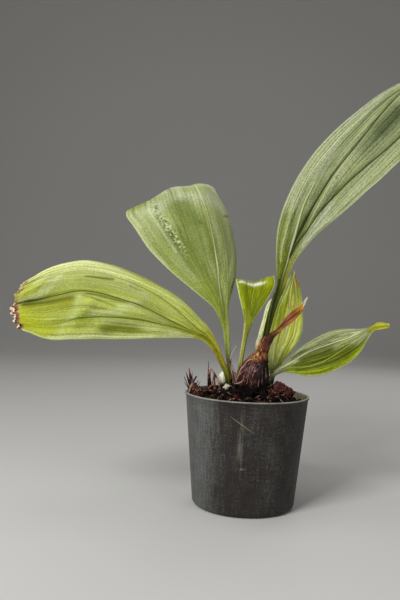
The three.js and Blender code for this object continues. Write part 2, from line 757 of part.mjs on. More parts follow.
function stoneSolid({ at, size, turn, seed, steps }, grow = 0) {
  const geometry = block(size[0] + 2 * grow, size[1] + 2 * grow, size[2] + 2 * grow, seeded(seed), steps);
  geometry.rotateY(turn);
  geometry.translate(...at);
  return solidOf(geometry);
}

const youngBulb = spineBody(YOUNG_BULB, { sides: 10, steps: 2 });
const youngBulbHole = spineBody(YOUNG_BULB, { sides: 10, steps: 2, grow: GAP });
const bulb = mainBulbBody(0).add(leafSolid(BRACT)).subtract(stalkHoles.leaf_d);
const rhizome = rhizomeSolid(0)
  .subtract(mainBulbBody(GAP))
  .subtract(youngBulbHole)
  .subtract(wasm.Manifold.union(Object.values(stalkHoles)));
const remnant = spineBody(REMNANT, { sides: 8, steps: 2, depth: 0.5 });

addPiece('pot', potSolid(), '#46453f', 0.55);
addPiece('potting_mix', mixSolid([
  rhizomeSolid(GAP),
  mainBulbBody(GAP),
  youngBulbHole,
  spineBody(REMNANT, { sides: 8, steps: 2, depth: 0.5, grow: 2 * GAP }),
  stoneSolid(STONE, 2 * GAP),
  stoneSolid(CHUNK, 2 * GAP),
  ...Object.values(stalkHoles),
]), '#33221b', 0.9);
addPiece('rhizome', largestBody(rhizome), '#7a6a4a', 0.7);
addPiece('main_pseudobulb', largestBody(bulb), '#7a4530', 0.75);
addPiece('young_pseudobulb', youngBulb, '#d9d8bd', 0.6);
addPiece('sheath_remnant', remnant, '#8a6648', 0.85);
addPiece('pale_stone', stoneSolid(STONE), '#cfd0bb', 0.9);
addPiece('bark_chunk', stoneSolid(CHUNK), '#5a2a22', 0.9);
for (const [name, leaf] of Object.entries(LEAVES)) {
  addPiece(name, leafSolid(leaf), leaf.colour, 0.45);
}

export default plant;
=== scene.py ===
"""A potted Stanhopea tricornis: six pleated leaves over shaggy bulbs in a black nursery pot.

Sizes are in millimetres until they reach a mesh, and metres there. X runs to the viewer's
right, Y away from the viewer and Z up, from the middle of the pot's underside.
"""

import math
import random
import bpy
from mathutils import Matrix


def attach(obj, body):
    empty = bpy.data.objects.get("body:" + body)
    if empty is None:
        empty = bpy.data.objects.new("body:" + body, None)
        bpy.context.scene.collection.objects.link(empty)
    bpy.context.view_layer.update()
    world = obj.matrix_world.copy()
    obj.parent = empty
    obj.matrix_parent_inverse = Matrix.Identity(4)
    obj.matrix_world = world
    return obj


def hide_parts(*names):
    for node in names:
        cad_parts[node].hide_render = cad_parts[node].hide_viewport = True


bl_info = {
    "name": "Potted Stanhopea",
    "version": (1, 0, 0),
    "blender": (4, 5, 0),
    "location": "View3D > Sidebar > Orchid",
    "description": "Models a potted Stanhopea tricornis with its leaves, bulbs, bark mix and nursery pot",
    "category": "Object",
}

import bmesh
import bpy
import numpy as np
from bpy.props import FloatProperty, FloatVectorProperty, IntProperty, PointerProperty
from mathutils import Matrix, Vector, noise

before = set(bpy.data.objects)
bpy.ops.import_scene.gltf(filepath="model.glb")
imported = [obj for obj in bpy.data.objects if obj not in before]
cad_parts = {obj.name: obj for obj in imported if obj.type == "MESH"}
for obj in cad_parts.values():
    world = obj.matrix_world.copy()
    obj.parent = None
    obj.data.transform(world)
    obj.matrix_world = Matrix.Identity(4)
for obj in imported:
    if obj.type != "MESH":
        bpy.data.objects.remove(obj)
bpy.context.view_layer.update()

MM = 0.001

# The photograph's viewpoint, in metres; its focal length and its width and height in pixels; its roll
# in degrees
CAMERA_AT = (-0.0499, -0.650, 0.1977)
FOCAL_PIXELS = 660.7
IMAGE_SIZE = (400, 600)
CAMERA_ROLL = 2.4


def linear(code):
    """An sRGB hex colour as linear red, green, blue and alpha."""
    shares = [int(code[i:i + 2], 16) / 255 for i in (1, 3, 5)]
    return tuple(c / 12.92 if c <= 0.04045 else ((c + 0.055) / 1.055) ** 2.4 for c in shares) + (1.0,)


def full_colour(colour):
    """Red, green, blue and alpha of a hex code or of a colour setting."""
    return linear(colour) if isinstance(colour, str) else (*colour, 1)[:4]


def colour_property(name, code, description):
    return FloatVectorProperty(name=name, description=description, default=linear(code)[:3],
                               subtype="COLOR", size=3, min=0, max=1)


def length_property(name, metres, description):
    return FloatProperty(name=name, description=description, default=metres, subtype="DISTANCE",
                         unit="LENGTH", min=0)


def power_property(name, watts, where):
    return FloatProperty(name=name, description=f"Power of the soft light {where}", default=watts,
                         subtype="POWER", unit="POWER", min=0)


def count_property(name, count, description):
    return IntProperty(name=name, description=description, default=count, min=0)


class PotSettings(bpy.types.PropertyGroup):
    """Sizes and colours of the nursery pot"""
    height: length_property("Height", 0.108, "Height from the underside to the top of the rim")
    rim_radius: length_property("Rim radius", 0.060, "Outer radius of the wall at its top")
    base_radius: length_property("Base radius", 0.050, "Outer radius of the wall above the bottom corner")
    wall: length_property("Wall", 0.0012, "Thickness of the wall")
    floor: length_property("Floor", 0.0016, "Thickness of the floor")
    corner: length_property("Corner", 0.005, "Radius of the bottom corner")
    bead: length_property("Rim bead", 0.0006, "How far the rim stands proud of the wall")
    bead_height: length_property("Rim height", 0.0022, "Height of the rim's bead")
    drain_holes: count_property("Drain holes", 8, "Number of holes in the floor")
    drain_radius: length_property("Drain radius", 0.0045, "Radius of a drain hole")
    drain_circle: length_property("Drain circle", 0.036, "Radius of the circle the holes lie on")
    plastic: colour_property("Plastic", "#231d1a", "Black recycled plastic")
    dust: colour_property("Dust", "#63645f", "Dust and lime that dries on the wall in streaks")
    scuff: colour_property("Scuffs", "#9a9a86", "Scratches and worn edges")


class MixSettings(bpy.types.PropertyGroup):
    """Sizes and colours of the bark mix"""
    edge_height: length_property("Edge height", 0.101, "Height of the mix where it meets the pot")
    crown: length_property("Crown", 0.014, "How far the mound rises above its edge")
    spread: length_property("Spread", 0.027, "Width of the mound")
    chips: count_property("Small chips", 330, "Small bark chips over the large ones")
    fibres: count_property("Fibres", 210, "Loose root and husk fibres on the mix")
    damp: colour_property("Damp bark", "#070403", "Wet bark and the depths between chips")
    bark: colour_property("Bark", "#3a1711", "Red-brown faces of the chips")
    husk: colour_property("Husk", "#ab8974", "Dry fibres and broken edges")


class BulbSettings(bpy.types.PropertyGroup):
    """Colours of the bulbs and their dry sheaths"""
    shadow: colour_property("Sheath shadow", "#080404", "Depths between the sheath's fibres")
    fibre: colour_property("Sheath fibre", "#4d2115", "Red-brown fibres of the sheath")
    straw: colour_property("Sheath straw", "#ba9080", "Pale worn fibres")
    bract: colour_property("Bract", "#9c5a22", "Rust-coloured dry bract")
    bract_tip: colour_property("Bract tip", "#c9bfae", "Bleached tip of the bract")
    young: colour_property("Young bulb", "#f4f0da", "Pale skin of the young bulb")
    old: colour_property("Old bulbs", "#6b5a3a", "Brown skin of the old bulbs")
    stone: colour_property("Stone", "#d0cfb2", "Pale lump at the foot of the stalks")
    chunk: colour_property("Red bark", "#3b100f", "Lump of dark red bark")


# Light and deep colour of each leaf
LEAF_COLOURS = {
    "a": ("#b6bf5e", "#8f9a2a"),
    "b": ("#9da658", "#808840"),
    "c": ("#8e9800", "#788000"),
    "d": ("#a2aa7c", "#78824c"),
    "e": ("#ecf070", "#bec636"),
    "f": ("#808840", "#616b0c"),
}


class LeafSettings(bpy.types.PropertyGroup):
    """Sizes and colours of the leaves"""
    blade: length_property("Blade", 0.0008, "Thickness of a blade")
    petiole: length_property("Petiole", 0.0042, "Thickness of a leaf's stalk")
    keel: length_property("Keel", 0.0013, "Height of the keel under the midrib")
    margin: colour_property("Margin", "#cdd49c", "Pale rim of every blade")
    dry: colour_property("Dry edge", "#8d5a48", "Dead tissue along a torn edge")
    bleached: colour_property("Bleached", "#ead9b8", "Bleached flakes on a torn edge")


for letter, (light_code, deep_code) in LEAF_COLOURS.items():
    LeafSettings.__annotations__[f"light_{letter}"] = colour_property(
        f"Leaf {letter} light", light_code, f"Light green of leaf {letter}")
    LeafSettings.__annotations__[f"deep_{letter}"] = colour_property(
        f"Leaf {letter} deep", deep_code, f"Deep green of leaf {letter}")


class StudioSettings(bpy.types.PropertyGroup):
    """Strength of the studio's lights and the colour of its floor"""
    key: power_property("Key light", 22, "at the left")
    top: power_property("Top light", 3.5, "overhead")
    fill: power_property("Fill light", 4, "at the right")
    back: power_property("Back light", 4, "behind the plant")
    room: FloatProperty(name="Room light", description="Strength of the light from all around",
                        default=0.11, min=0)
    floor: colour_property("Floor", "#cfcecb", "Pale studio floor")


# Curves and surfaces in millimetres


def in_picture(points):
    """Where points in millimetres fall in the photograph, in pixels from its upper left corner."""
    x, y, z = (points - np.array(CAMERA_AT) / MM).T
    roll = math.radians(CAMERA_ROLL)
    right = x * math.cos(roll) + z * math.sin(roll)
    up = z * math.cos(roll) - x * math.sin(roll)
    return np.stack([IMAGE_SIZE[0] / 2 + FOCAL_PIXELS * right / y,
                     IMAGE_SIZE[1] / 2 - FOCAL_PIXELS * up / y], axis=1)


def smooth(low, high, value):
    share = np.clip((value - low) / (high - low), 0, 1)
    return share * share * (3 - 2 * share)


def unit(vectors):
    return vectors / np.maximum(np.linalg.norm(vectors, axis=-1, keepdims=True), 1e-9)


def through(stations, place):
    """Points at the given places on a smooth curve through evenly numbered stations."""
    last = len(stations) - 1
    at = np.clip(place, 0, last)
    first = np.minimum(at.astype(int), last - 1)
    u = (at - first)[:, None]
    padded = np.vstack([2 * stations[0] - stations[1], stations, 2 * stations[-1] - stations[-2]])
    p0, p1, p2, p3 = (padded[first + k] for k in range(4))
    bend = (2 * p0 - 5 * p1 + 4 * p2 - p3) * u + (3 * p1 - p0 - 3 * p2 + p3) * u * u
    return 0.5 * (2 * p1 + (p2 - p0 + bend) * u)


# Small steps along a curve, in stations and in shares of a leaf, that give its direction
STATION_STEP = 0.05
LEAF_STEP = 0.004
# Past this share of its length along X, a spine counts as lying
LYING_SHARE = 0.7


def direction(stations, place):
    """The direction of a curve at the given places."""
    return unit(through(stations, place + STATION_STEP) - through(stations, place - STATION_STEP))


class Spine:
    """A tube or bulb round a line of [x, y, z, radius] stations."""

    def __init__(self, stations, depth=1, outline=None):
        self.stations = np.array(stations, float)
        self.depth = depth
        self.outline = outline
        overall = unit(self.stations[-1, :3] - self.stations[0, :3])
        self.level = np.array([0, 0, 1.0] if abs(overall[0]) > LYING_SHARE else [1.0, 0, 0])

    def points(self, turn, share, lift=0):
        """Points at a turn round the spine and a share of its length, lifted off the skin."""
        place = share * (len(self.stations) - 1)
        along = direction(self.stations[:, :3], place)
        side = unit(self.level - along * (along @ self.level)[:, None])
        back = np.cross(along, side)
        station = through(self.stations, place)
        reach = station[:, 3]
        if self.outline:
            reach = reach * self.outline(turn, share)
        reach = reach + lift
        return (station[:, :3] + side * (reach * np.cos(turn))[:, None]
                + back * (reach * self.depth * np.sin(turn))[:, None])

    def length(self):
        return float(np.linalg.norm(np.diff(self.stations[:, :3], axis=0), axis=1).sum())


def new_part():
    """A small mesh of its own, with the layers that the bark and sheath materials read."""
    part = bmesh.new()
    part.verts.layers.float_vector.new("flow")
    part.verts.layers.float.new("tone")
    return part


def to_mesh(name, bm):
    mesh = bpy.data.meshes.new(name)
    bm.to_mesh(mesh)
    bm.free()
    return mesh


def join_part(bm, part):
    """Moves a small mesh into the whole one."""
    mesh = to_mesh("part", part)
    bm.from_mesh(mesh)
    bpy.data.meshes.remove(mesh)


def wrap_spine(bm, spine, sides, rows, tone=0.5):
    """Adds a ball whose rings are drawn out along the spine, with its poles as closed ends."""
    part = new_part()
    flow, shade = part.verts.layers.float_vector["flow"], part.verts.layers.float["tone"]
    ball = bmesh.ops.create_uvsphere(part, u_segments=sides, v_segments=rows + 1, radius=1)["verts"]
    flat = np.array([vert.co for vert in ball])
    turn = np.arctan2(flat[:, 1], flat[:, 0])
    row = np.round(np.arccos(np.clip(-flat[:, 2], -1, 1)) / math.pi * (rows + 1))
    share = np.clip((row - 1) / (rows - 1), 0, 1)
    station = through(spine.stations, share * (len(spine.stations) - 1))
    pole = (row < 1) | (row > rows)
    placed = np.where(pole[:, None], station[:, :3], spine.points(turn, share)) * MM
    length = spine.length()
    for vert, point, angle, at, radius in zip(ball, placed, turn, share, station[:, 3]):
        vert.co = point
        vert[flow] = (radius * math.cos(angle) * MM, radius * math.sin(angle) * MM, at * length * MM)
        vert[shade] = tone
    join_part(bm, part)


def slab(name, columns, rows):
    """A flat closed slab as a mesh, with each corner's place across from -1 to 1, its place along from
    0 to 1, and 1 where it lies on the underside."""
    bm = bmesh.new()
    bmesh.ops.create_grid(bm, x_segments=columns, y_segments=rows, size=1)
    grown = bmesh.ops.extrude_face_region(bm, geom=bm.faces[:])["geom"]
    under = [item for item in grown if isinstance(item, bmesh.types.BMVert)]
    bmesh.ops.translate(bm, verts=under, vec=(0, 0, -1))
    bmesh.ops.recalc_face_normals(bm, faces=bm.faces)
    mesh = to_mesh(name, bm)
    flat = np.empty(len(mesh.vertices) * 3)
    mesh.vertices.foreach_get("co", flat)
    x, y, z = flat.reshape(-1, 3).T
    return mesh, np.clip(x, -1, 1), np.clip((y + 1) / 2, 0, 1), -z


def keep(mesh, key, kind, values, domain="POINT"):
    """Keeps numbers on a mesh for its material to read."""
    field = {"FLOAT": "value", "FLOAT_VECTOR": "vector", "FLOAT_COLOR": "color"}[kind]
    mesh.attributes.new(key, kind, domain).data.foreach_set(field, values.astype(np.float32).ravel())


def place_slab(mesh, points):
    """Moves a slab's corners to points in millimetres."""
    mesh.vertices.foreach_set("co", (points * MM).astype(np.float32).ravel())
    mesh.update()


def add_object(name, data):
    item = bpy.data.objects.new(name, data)
    bpy.context.scene.collection.objects.link(item)
    return item


def finish_piece(name, bm, material, nodes=(), smooth_faces=True):
    """Closes a mesh into an object that rides on the plant and stands for its CAD nodes."""
    bmesh.ops.recalc_face_normals(bm, faces=bm.faces)
    return finish_mesh(name, to_mesh(name, bm), material, nodes, smooth_faces)


def finish_mesh(name, mesh, material, nodes=(), smooth_faces=True):
    if not mesh.polygons:
        raise RuntimeError(f"{name} has no faces")
    if smooth_faces:
        mesh.shade_smooth()
    else:
        mesh.shade_flat()
    piece = add_object(name, mesh)
    mesh.materials.append(material)
    if nodes:
        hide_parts(*nodes)
    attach(piece, "root")
    return piece


# Leaves

# Stations over which a stalk flattens into its blade, and over which the pleats open and close
FLATTENING = 1.5
OPENING = 3
CLOSING = 2
# Widths in millimetres from which the pleats of a blade, and the arch of one panel, have their height
FULL_PLEAT_WIDTH = 40
FULL_PANEL_WIDTH = 14
# How much of a pleat's height shows between its folds, and how flat it is there
PLEAT_SHARE = 0.6
PANEL_FLATNESS = 0.7
# Half widths as shares of the blade, and depth in millimetres, of the keel and the stalk's channel
KEEL_WIDTH = 0.13
CHANNEL_WIDTH = 0.3
CHANNEL_DEPTH = 0.5
# Half widths in millimetres of a groove and of a damaged vein, and its waves along the leaf
GROOVE_WIDTH = 1.6
CRINKLE_WIDTH = 4.5
CRINKLE_WAVES = (160, 310)
# The share of a leaf's length over which the damage comes and goes
CRINKLE_FADE = 0.03
# How far apart two folds count as where they meet, as a share of the half width
LEAST_ROOM = 0.02
# Where the waves of the left and of the right edge start, in radians
WAVE_STARTS = (0.6, 2.4)
# Heights in millimetres of the ripples that every blade has
COARSE_RIPPLE = 0.35
FINE_RIPPLE = 0.2
# A half width in millimetres below which a leaf has no pale rim
NARROW = 5
BLADE_GRID = (96, 220)
SMALL_BLADE_GRID = (64, 130)
# Columns and rows of the grid that finds a mark's pixels on a leaf, and how far across it reaches
MARK_GRID = (133, 401)
MARK_REACH = 0.99
# Steps in shares of the length over which the kinks of a crease are smoothed
CREASE_STEPS = (-0.02, -0.012, -0.004, 0.004, 0.012, 0.02)


def stalk(x, y, z, width, lean=0):
    """A station of a leaf's stalk: its middle, its width and the lean of that width in degrees."""
    dx = width / 2 * math.cos(math.radians(lean))
    dz = width / 2 * math.sin(math.radians(lean))
    return x - dx, y, z - dz, x, y, z, x + dx, y, z + dz


# Each leaf has stations from its foot to its tip: x, y and z of its left edge, of its midrib and of its
# right edge, as the viewer sees them. upper is 1 where the viewer sees the upper face and -1 where the
# underside shows, petiole the station where the stalk ends, pleat the height of the arches between the
# folds, wave and waves the height and number of the waves along its edges, bow the bulge of its left
# and right halves, tear the depth of its torn end, and turns_back the share of the length past which
# the blade faces away from the viewer.
LEAVES = {
    "leaf_a": {
        "upper": 1, "petiole": 3, "pleat": 1.9, "wave": 1.6, "waves": 2.6, "bow": [3, 3], "tear": 2.4,
        "sections": [
            stalk(-17.5, -10, 104, 4.4), stalk(-18.5, -10, 115, 4.6, 8), stalk(-21.5, -11, 128, 5, 25),
            stalk(-27, -12, 140, 6, 40), (-36, -14, 150, -33, -13, 153, -31, -11, 155),
            (-46, -18, 159, -43, -15, 163, -39, -10, 169), (-57, -24, 161, -52, -18, 167, -47, -8, 178),
            (-78, -34, 161, -73, -22, 179, -66, -5, 197), (-105, -48, 161, -102, -30, 192, -96, -6, 213),
            (-131, -60, 160, -132, -38, 200, -129, -10, 225),
            (-157, -68, 158, -160, -46, 202, -162, -18, 230),
            (-180, -74, 157, -186, -53, 196, -188, -30, 224),
            (-197, -74, 163, -205, -59, 189, -203, -42, 214),
            (-209, -70, 168, -217, -62, 183, -210, -50, 208)],
    },
    "leaf_b": {
        "upper": 1, "petiole": 3, "turns_back": 0.72, "pleat": 0.4, "wave": 1.0, "waves": 3, "bow": [6, 2],
        "sections": [
            stalk(-16, 3, 104, 4.2), stalk(-17, 3, 120, 4.6), stalk(-18.8, 3, 137, 5, 6),
            stalk(-20.8, 4, 153, 5.4, 6), stalk(-22.8, 5, 169, 6.2, 6),
            (-31, 5, 182, -24.5, 6, 183, -21.5, 8, 184), (-39, 6, 193, -26, 8, 195, -20.5, 13, 197),
            (-58, 9, 207, -28.5, 12, 209, -17, 24, 211), (-83, 13, 227, -32, 18, 228, -13, 40, 229),
            (-105, 20, 249, -37, 27, 251, -13, 60, 252), (-121.5, 31, 271, -42, 36, 273, -17.5, 73, 273),
            (-130.5, 46, 282, -48, 47, 293, -24.5, 83, 296), (-132.5, 64, 290, -54, 62, 312, -34, 94, 314),
            (-129, 86, 288, -60, 82, 324, -42, 106, 328), (-120, 108, 278, -66, 106, 326, -52, 120, 327),
            (-108, 128, 266, -72, 130, 314, -62, 135, 313), (-97, 143, 258, -77, 148, 294, -71, 148, 292),
            (-87, 154, 254, -80, 158, 272, -77, 158, 271), (-83, 160, 258, -82, 161, 260, -81, 161, 259)],
    },
    "leaf_c": {
        "upper": 1, "petiole": 3, "turns_back": 0.64, "pleat": 0.8, "wave": 0.8, "waves": 2, "bow": [1, 1],
        "sections": [
            stalk(-10, 8.5, 112, 4), stalk(-8, 8.5, 127, 4.2), stalk(-6, 9, 144, 4.4),
            stalk(-3.5, 10, 162, 5), (-5, 11, 178, -1, 11, 178, 4, 12, 178),
            (-7, 11, 189, 1, 12, 191, 11, 13, 190), (-10, 12, 200, 2, 14, 203, 19, 16, 203),
            (-13, 15, 211, 4, 19, 212, 25, 21, 215), (-14, 21, 218, 5, 26, 217, 25.5, 26, 223),
            (-12, 29, 220, 7, 34, 216, 25, 34, 226), (-9, 38, 215, 8, 43, 207, 22, 42, 216),
            (-3, 46, 202, 9, 49, 196, 18, 48, 201), (4, 51, 191, 9, 53, 188, 13, 52, 190),
            (8, 53, 184, 9, 54, 184, 10, 53, 184)],
    },
    "leaf_d": {
        "upper": -1, "petiole": 4, "pleat": 1.9, "wave": 1.5, "waves": 3, "bow": [3, 3],
        "sections": [
            stalk(12.5, -3, 142, 5.2), stalk(14, -3, 156, 5.6, -10), stalk(16.4, -3, 169, 6, -13),
            stalk(19.8, -3, 185, 6.6, -14), stalk(24, -3, 201, 7.4, -16),
            (24.5, -3, 216, 29, -3, 216, 33, -4, 214), (23.5, -2, 232, 32, -4, 231, 37, -5, 230),
            (23, 1, 252, 38, -5, 248, 45, -8, 246), (25, 5, 277, 51, -8, 271, 60, -12, 266),
            (33, 7, 305, 65, -11, 300, 80, -19, 284), (47, 8, 334, 79, -15, 327, 101, -28, 304),
            (67, 6, 360, 97, -21, 353, 119, -37, 322), (92, 0, 384, 116, -29, 377, 136, -45, 342),
            (117, -10, 404, 135, -37, 398, 152, -51, 366), (141, -21, 417, 152, -45, 413, 163, -56, 388),
            (162, -37, 425, 168, -55, 422, 173, -61, 407), (180, -56, 429, 183, -63, 428, 185, -65, 423),
            (192, -68, 431, 193, -69, 430, 194, -69, 429)],
    },
    "leaf_e": {
        "upper": 1, "petiole": 1, "pleat": 1.3, "wave": 0.8, "waves": 2, "bow": [1.5, 1.5],
        "sections": [
            stalk(25, 17, 106, 4), stalk(26, 17, 120, 4.4), (23, 17, 129, 27, 18, 129, 31, 19, 129),
            (16, 16, 140, 28, 18, 139, 37, 20, 139), (8, 13, 152, 30, 19, 151, 46, 23, 150),
            (9.5, 11, 165, 33, 20, 165, 54, 24, 164), (13, 12, 180, 36, 21, 180, 56, 24, 182),
            (18, 14, 197, 39, 22, 196, 55, 24, 198), (29, 18, 208, 41, 24, 210, 52, 25, 214),
            (39, 25, 222, 44, 26, 223, 48, 27, 225), (44, 28, 231, 45, 28, 232, 46, 28, 231)],
    },
    "leaf_f": {
        "upper": 1, "petiole": 2, "pleat": 1.2, "wave": 0.8, "waves": 2, "bow": [2, 2],
        "sections": [
            stalk(20.5, 8, 106, 4), stalk(21.5, 8, 117, 4.4, -15), stalk(25.5, 8, 126, 5, -40),
            (31, 9, 134, 33, 8, 132, 35, 6, 129), (41, 11, 142, 42, 6, 138, 43, -3, 130),
            (53, 13, 154, 56, 3, 148, 57, -9, 128), (67, 13, 164, 71, 0, 156, 73, -15, 131),
            (81, 10, 171, 86, -3, 163, 89, -19, 140), (96, 5, 175, 99, -7, 168, 103, -20, 152),
            (109, -3, 176, 110, -10, 173, 113, -16, 167), (117, -11, 179, 117, -12, 178, 119, -13, 175),
            (123, -12, 183, 124, -14, 180, 125, -16, 177), (132, -17, 183, 133, -18, 181, 132, -19, 179)],
    },
}

# The lines that run along each leaf. A path is a list of (share of the length, place across).
# line is the drawn line's colour, width in millimetres and strength; a dark line is the vein's colour
# with painted shade in its fold. groove is its depth, shade the side, reach in millimetres and strength
# of the painted shadow beside the fold, fades the share of the length past which it is lost, and crinkle
# the height of the blisters along a damaged vein.
CREASES = {
    "leaf_a": [
        {"path": [(0, 0), (0.3, -0.08), (0.45, -0.21), (0.53, -0.27), (0.58, -0.17), (0.65, -0.11),
                  (0.69, -0.06), (0.74, 0), (0.82, -0.02), (0.91, 0.03), (1, 0.12)],
         "line": ("#565a06", 1.4, 0.95), "groove": 1.1, "shade": (-1, 9, 0.4)},
        {"path": [(0, 0.1), (0.48, 0.2), (0.52, 0.28), (0.57, 0.41), (0.62, 0.53), (0.69, 0.55),
                  (0.74, 0.6), (0.82, 0.59), (0.9, 0.68), (1, 0.76)], "line": ("#6f7a24", 0.8, 0.85),
         "groove": 0.6, "shade": (-1, 4, 0.2)},
        {"path": [(0, -0.3), (0.46, -0.48), (0.56, -0.51), (0.65, -0.54), (0.73, -0.58), (0.81, -0.67),
                  (0.9, -0.8), (1, -0.95)], "line": ("#5d6a12", 1.2, 0.9), "groove": 0.9,
         "shade": (-1, 5, 0.25), "fades": 0.83},
    ],
    "leaf_b": [
        {"path": [(0, 0), (0.31, -0.3), (0.38, -0.12), (0.43, -0.04), (0.5, 0), (0.6, 0.02), (0.67, -0.02),
                  (1, 0)], "line": ("#ccd6a0", 0.9, 0.9), "groove": -0.3, "shade": (-1, 3, 0.3)},
        {"path": [(0, -0.3), (0.35, -0.53), (0.4, -0.43), (0.49, -0.4), (0.58, -0.38), (0.66, -0.39),
                  (1, -0.4)], "line": ("#627236", 0.9, 0.55), "groove": 0.2, "shade": (1, 5, 0.12)},
        {"path": [(0, -0.4), (0.42, -0.49), (0.47, -0.52), (0.52, -0.57), (0.57, -0.62), (0.61, -0.64),
                  (0.67, -0.68), (1, -0.7)], "line": ("#8d9c58", 0.8, 0.3), "groove": 0.2, "crinkle": 1.2,
         "span": (0.46, 0.68)},
        {"path": [(0, 0.3), (0.37, 0.31), (0.45, 0.58), (0.6, 0.66), (1, 0.5)],
         "line": ("#b3c07c", 0.7, 0.4), "groove": 0.15},
    ],
    "leaf_c": [
        {"path": [(0, 0), (1, 0)], "line": ("#9cb03a", 0.8, 0.5), "groove": -0.2},
        {"path": [(0, -0.3), (0.4, -0.42), (1, -0.45)], "line": ("#5f7208", 1.1, 0.55), "groove": 0.4},
        {"path": [(0, 0.3), (0.4, 0.42), (1, 0.45)], "line": ("#5f7208", 1.1, 0.55), "groove": 0.4},
    ],
    "leaf_d": [
        {"path": [(0, 0.05), (0.3, -0.05), (0.4, -0.06), (0.43, -0.17), (0.47, -0.22), (0.52, -0.19),
                  (0.57, -0.13), (0.61, -0.08), (0.65, -0.09), (0.68, -0.14), (0.71, -0.21), (0.77, -0.35),
                  (1, -0.3)], "line": ("#2a350c", 1.9, 1.0), "groove": 1.2, "shade": (-1, 7, 0.65)},
        {"path": [(0, 0.3), (0.45, 0), (0.48, 0.07), (0.51, 0.18), (0.54, 0.27), (0.58, 0.36), (0.62, 0.44),
                  (0.66, 0.5), (0.7, 0.56), (0.8, 0.66), (1, 0.8)], "line": ("#354114", 1.6, 0.95),
         "groove": 0.9, "shade": (-1, 6, 0.4)},
        {"path": [(0, 0), (0.38, 0), (0.43, -0.26), (0.48, -0.41), (0.51, -0.49), (0.56, -0.49),
                  (0.61, -0.53), (1, -0.7)], "line": ("#c3cb9c", 1.1, 0.9), "groove": 0.7,
         "shade": (1, 3, 0.75), "fades": 0.6},
    ],
    "leaf_e": [
        {"path": [(0, 0), (0.23, -0.15), (0.38, 0.1), (0.57, 0.19), (0.73, 0.12), (1, 0)],
         "line": ("#e0e8a8", 0.8, 0.95), "groove": -0.3, "shade": (-1, 4, 0.35)},
        {"path": [(0, 0.3), (0.24, 0.56), (0.4, 0.51), (0.65, 0.6), (1, 0.4)],
         "line": ("#e0e8a8", 0.7, 0.85), "groove": 0.3, "shade": (-1, 3, 0.35)},
        {"path": [(0, -0.3), (0.3, -0.42), (1, -0.45)], "line": ("#72860e", 1.0, 0.6), "groove": 0.4,
         "shade": (-1, 4, 0.25)},
    ],
    "leaf_f": [
        {"path": [(0, 0), (0.4, -0.06), (0.54, -0.02), (0.61, 0.03), (0.67, -0.04), (0.76, -0.25),
                  (0.85, -0.2), (1, 0)], "line": ("#e6ebbe", 1.1, 1.0), "groove": 0.5, "shade": (1, 4, 0.7),
         "fades": 0.76},
        {"path": [(0, 0.3), (0.33, 0.52), (0.42, 0.6), (0.5, 0.57), (0.57, 0.48), (0.65, 0.4), (0.75, 0.22),
                  (1, 0)], "line": ("#a3b244", 0.7, 0.8), "groove": 0.4, "shade": (1, 3, 0.4)},
        {"path": [(0, -0.3), (0.4, -0.5), (1, -0.5)], "line": ("#7f8f52", 0.9, 0.4), "groove": 0.4,
         "shade": (-1, 4, 0.2)},
    ],
}

# Hollows below and humps above a blade: place across and along, reach across and along, millimetres
DENTS = {
    "leaf_a": [
        (0.45, 0.7, 0.12, 0.035, -1.6), (0.36, 0.65, 0.08, 0.02, -1.4), (-0.82, 0.65, 0.14, 0.07, -2.2),
        (-0.28, 0.69, 0.16, 0.06, -1.8), (-0.3, 0.62, 0.14, 0.05, 1.8), (0.3, 0.87, 0.16, 0.08, 2.6),
        (-0.05, 0.88, 0.12, 0.07, -2.2), (0.75, 0.6, 0.14, 0.12, 1.2), (-0.4, 0.78, 0.2, 0.08, 1.5)],
    "leaf_b": [
        (-0.2, 0.6, 0.2, 0.08, -1.0), (0.3, 0.62, 0.15, 0.08, 0.6), (-0.88, 0.55, 0.1, 0.05, 1.2),
        (-0.38, 0.72, 0.22, 0.05, 4.0)],
    "leaf_c": [(-0.65, 0.5, 0.2, 0.1, 0.8), (0.65, 0.5, 0.2, 0.1, 0.8)],
    "leaf_d": [
        (0.3, 0.72, 0.16, 0.08, -2.4), (0.12, 0.55, 0.12, 0.05, 1.2), (0.7, 0.5, 0.2, 0.08, 1.0),
        (-0.3, 0.57, 0.14, 0.06, 1.0), (-0.2, 0.5, 0.1, 0.08, -1.2)],
    "leaf_e": [(0.45, 0.5, 0.2, 0.12, 0.8), (-0.65, 0.45, 0.2, 0.15, 1.0)],
    "leaf_f": [(0.7, 0.5, 0.2, 0.1, -1.0), (-0.5, 0.5, 0.25, 0.1, 1.0)],
}

# Long folds and hollows that run across the veins: height and half width in millimetres, and the path
# as (place across, share of the length)
RIDGES = {
    "leaf_a": [
        (1.3, 3.0, [(-0.26, 0.74), (-0.4, 0.745), (-0.62, 0.77)]),
        (1.2, 3.0, [(0.48, 0.82), (0.35, 0.85), (0.12, 0.87), (0.05, 0.93)]),
        (-1.3, 1.6, [(0.38, 0.76), (0.4, 0.7)]), (1.3, 3.6, [(0.02, 0.62), (-0.3, 0.66)]),
        (-1.8, 5.0, [(-0.8, 0.68), (-0.8, 0.6)]), (-0.5, 5.0, [(-0.15, 0.8), (-0.02, 0.92)])],
    "leaf_b": [(0.5, 3.0, [(0.3, 0.66), (0.4, 0.6)])],
    "leaf_c": [],
    "leaf_d": [(-2.0, 8.0, [(0.3, 0.66), (0.35, 0.78)]), (1.2, 4.0, [(0.1, 0.5), (0.12, 0.56)])],
    "leaf_e": [(0.7, 2.5, [(-0.6, 0.6), (-0.55, 0.75)])],
    "leaf_f": [(-0.9, 4.0, [(-0.2, 0.5), (-0.2, 0.62)]), (0.8, 2.2, [(-0.6, 0.35), (-0.6, 0.6)])],
}


def rails(leaf):
    """The left edge, midrib and right edge at each station."""
    return np.array(leaf["sections"], float).reshape(-1, 3, 3)


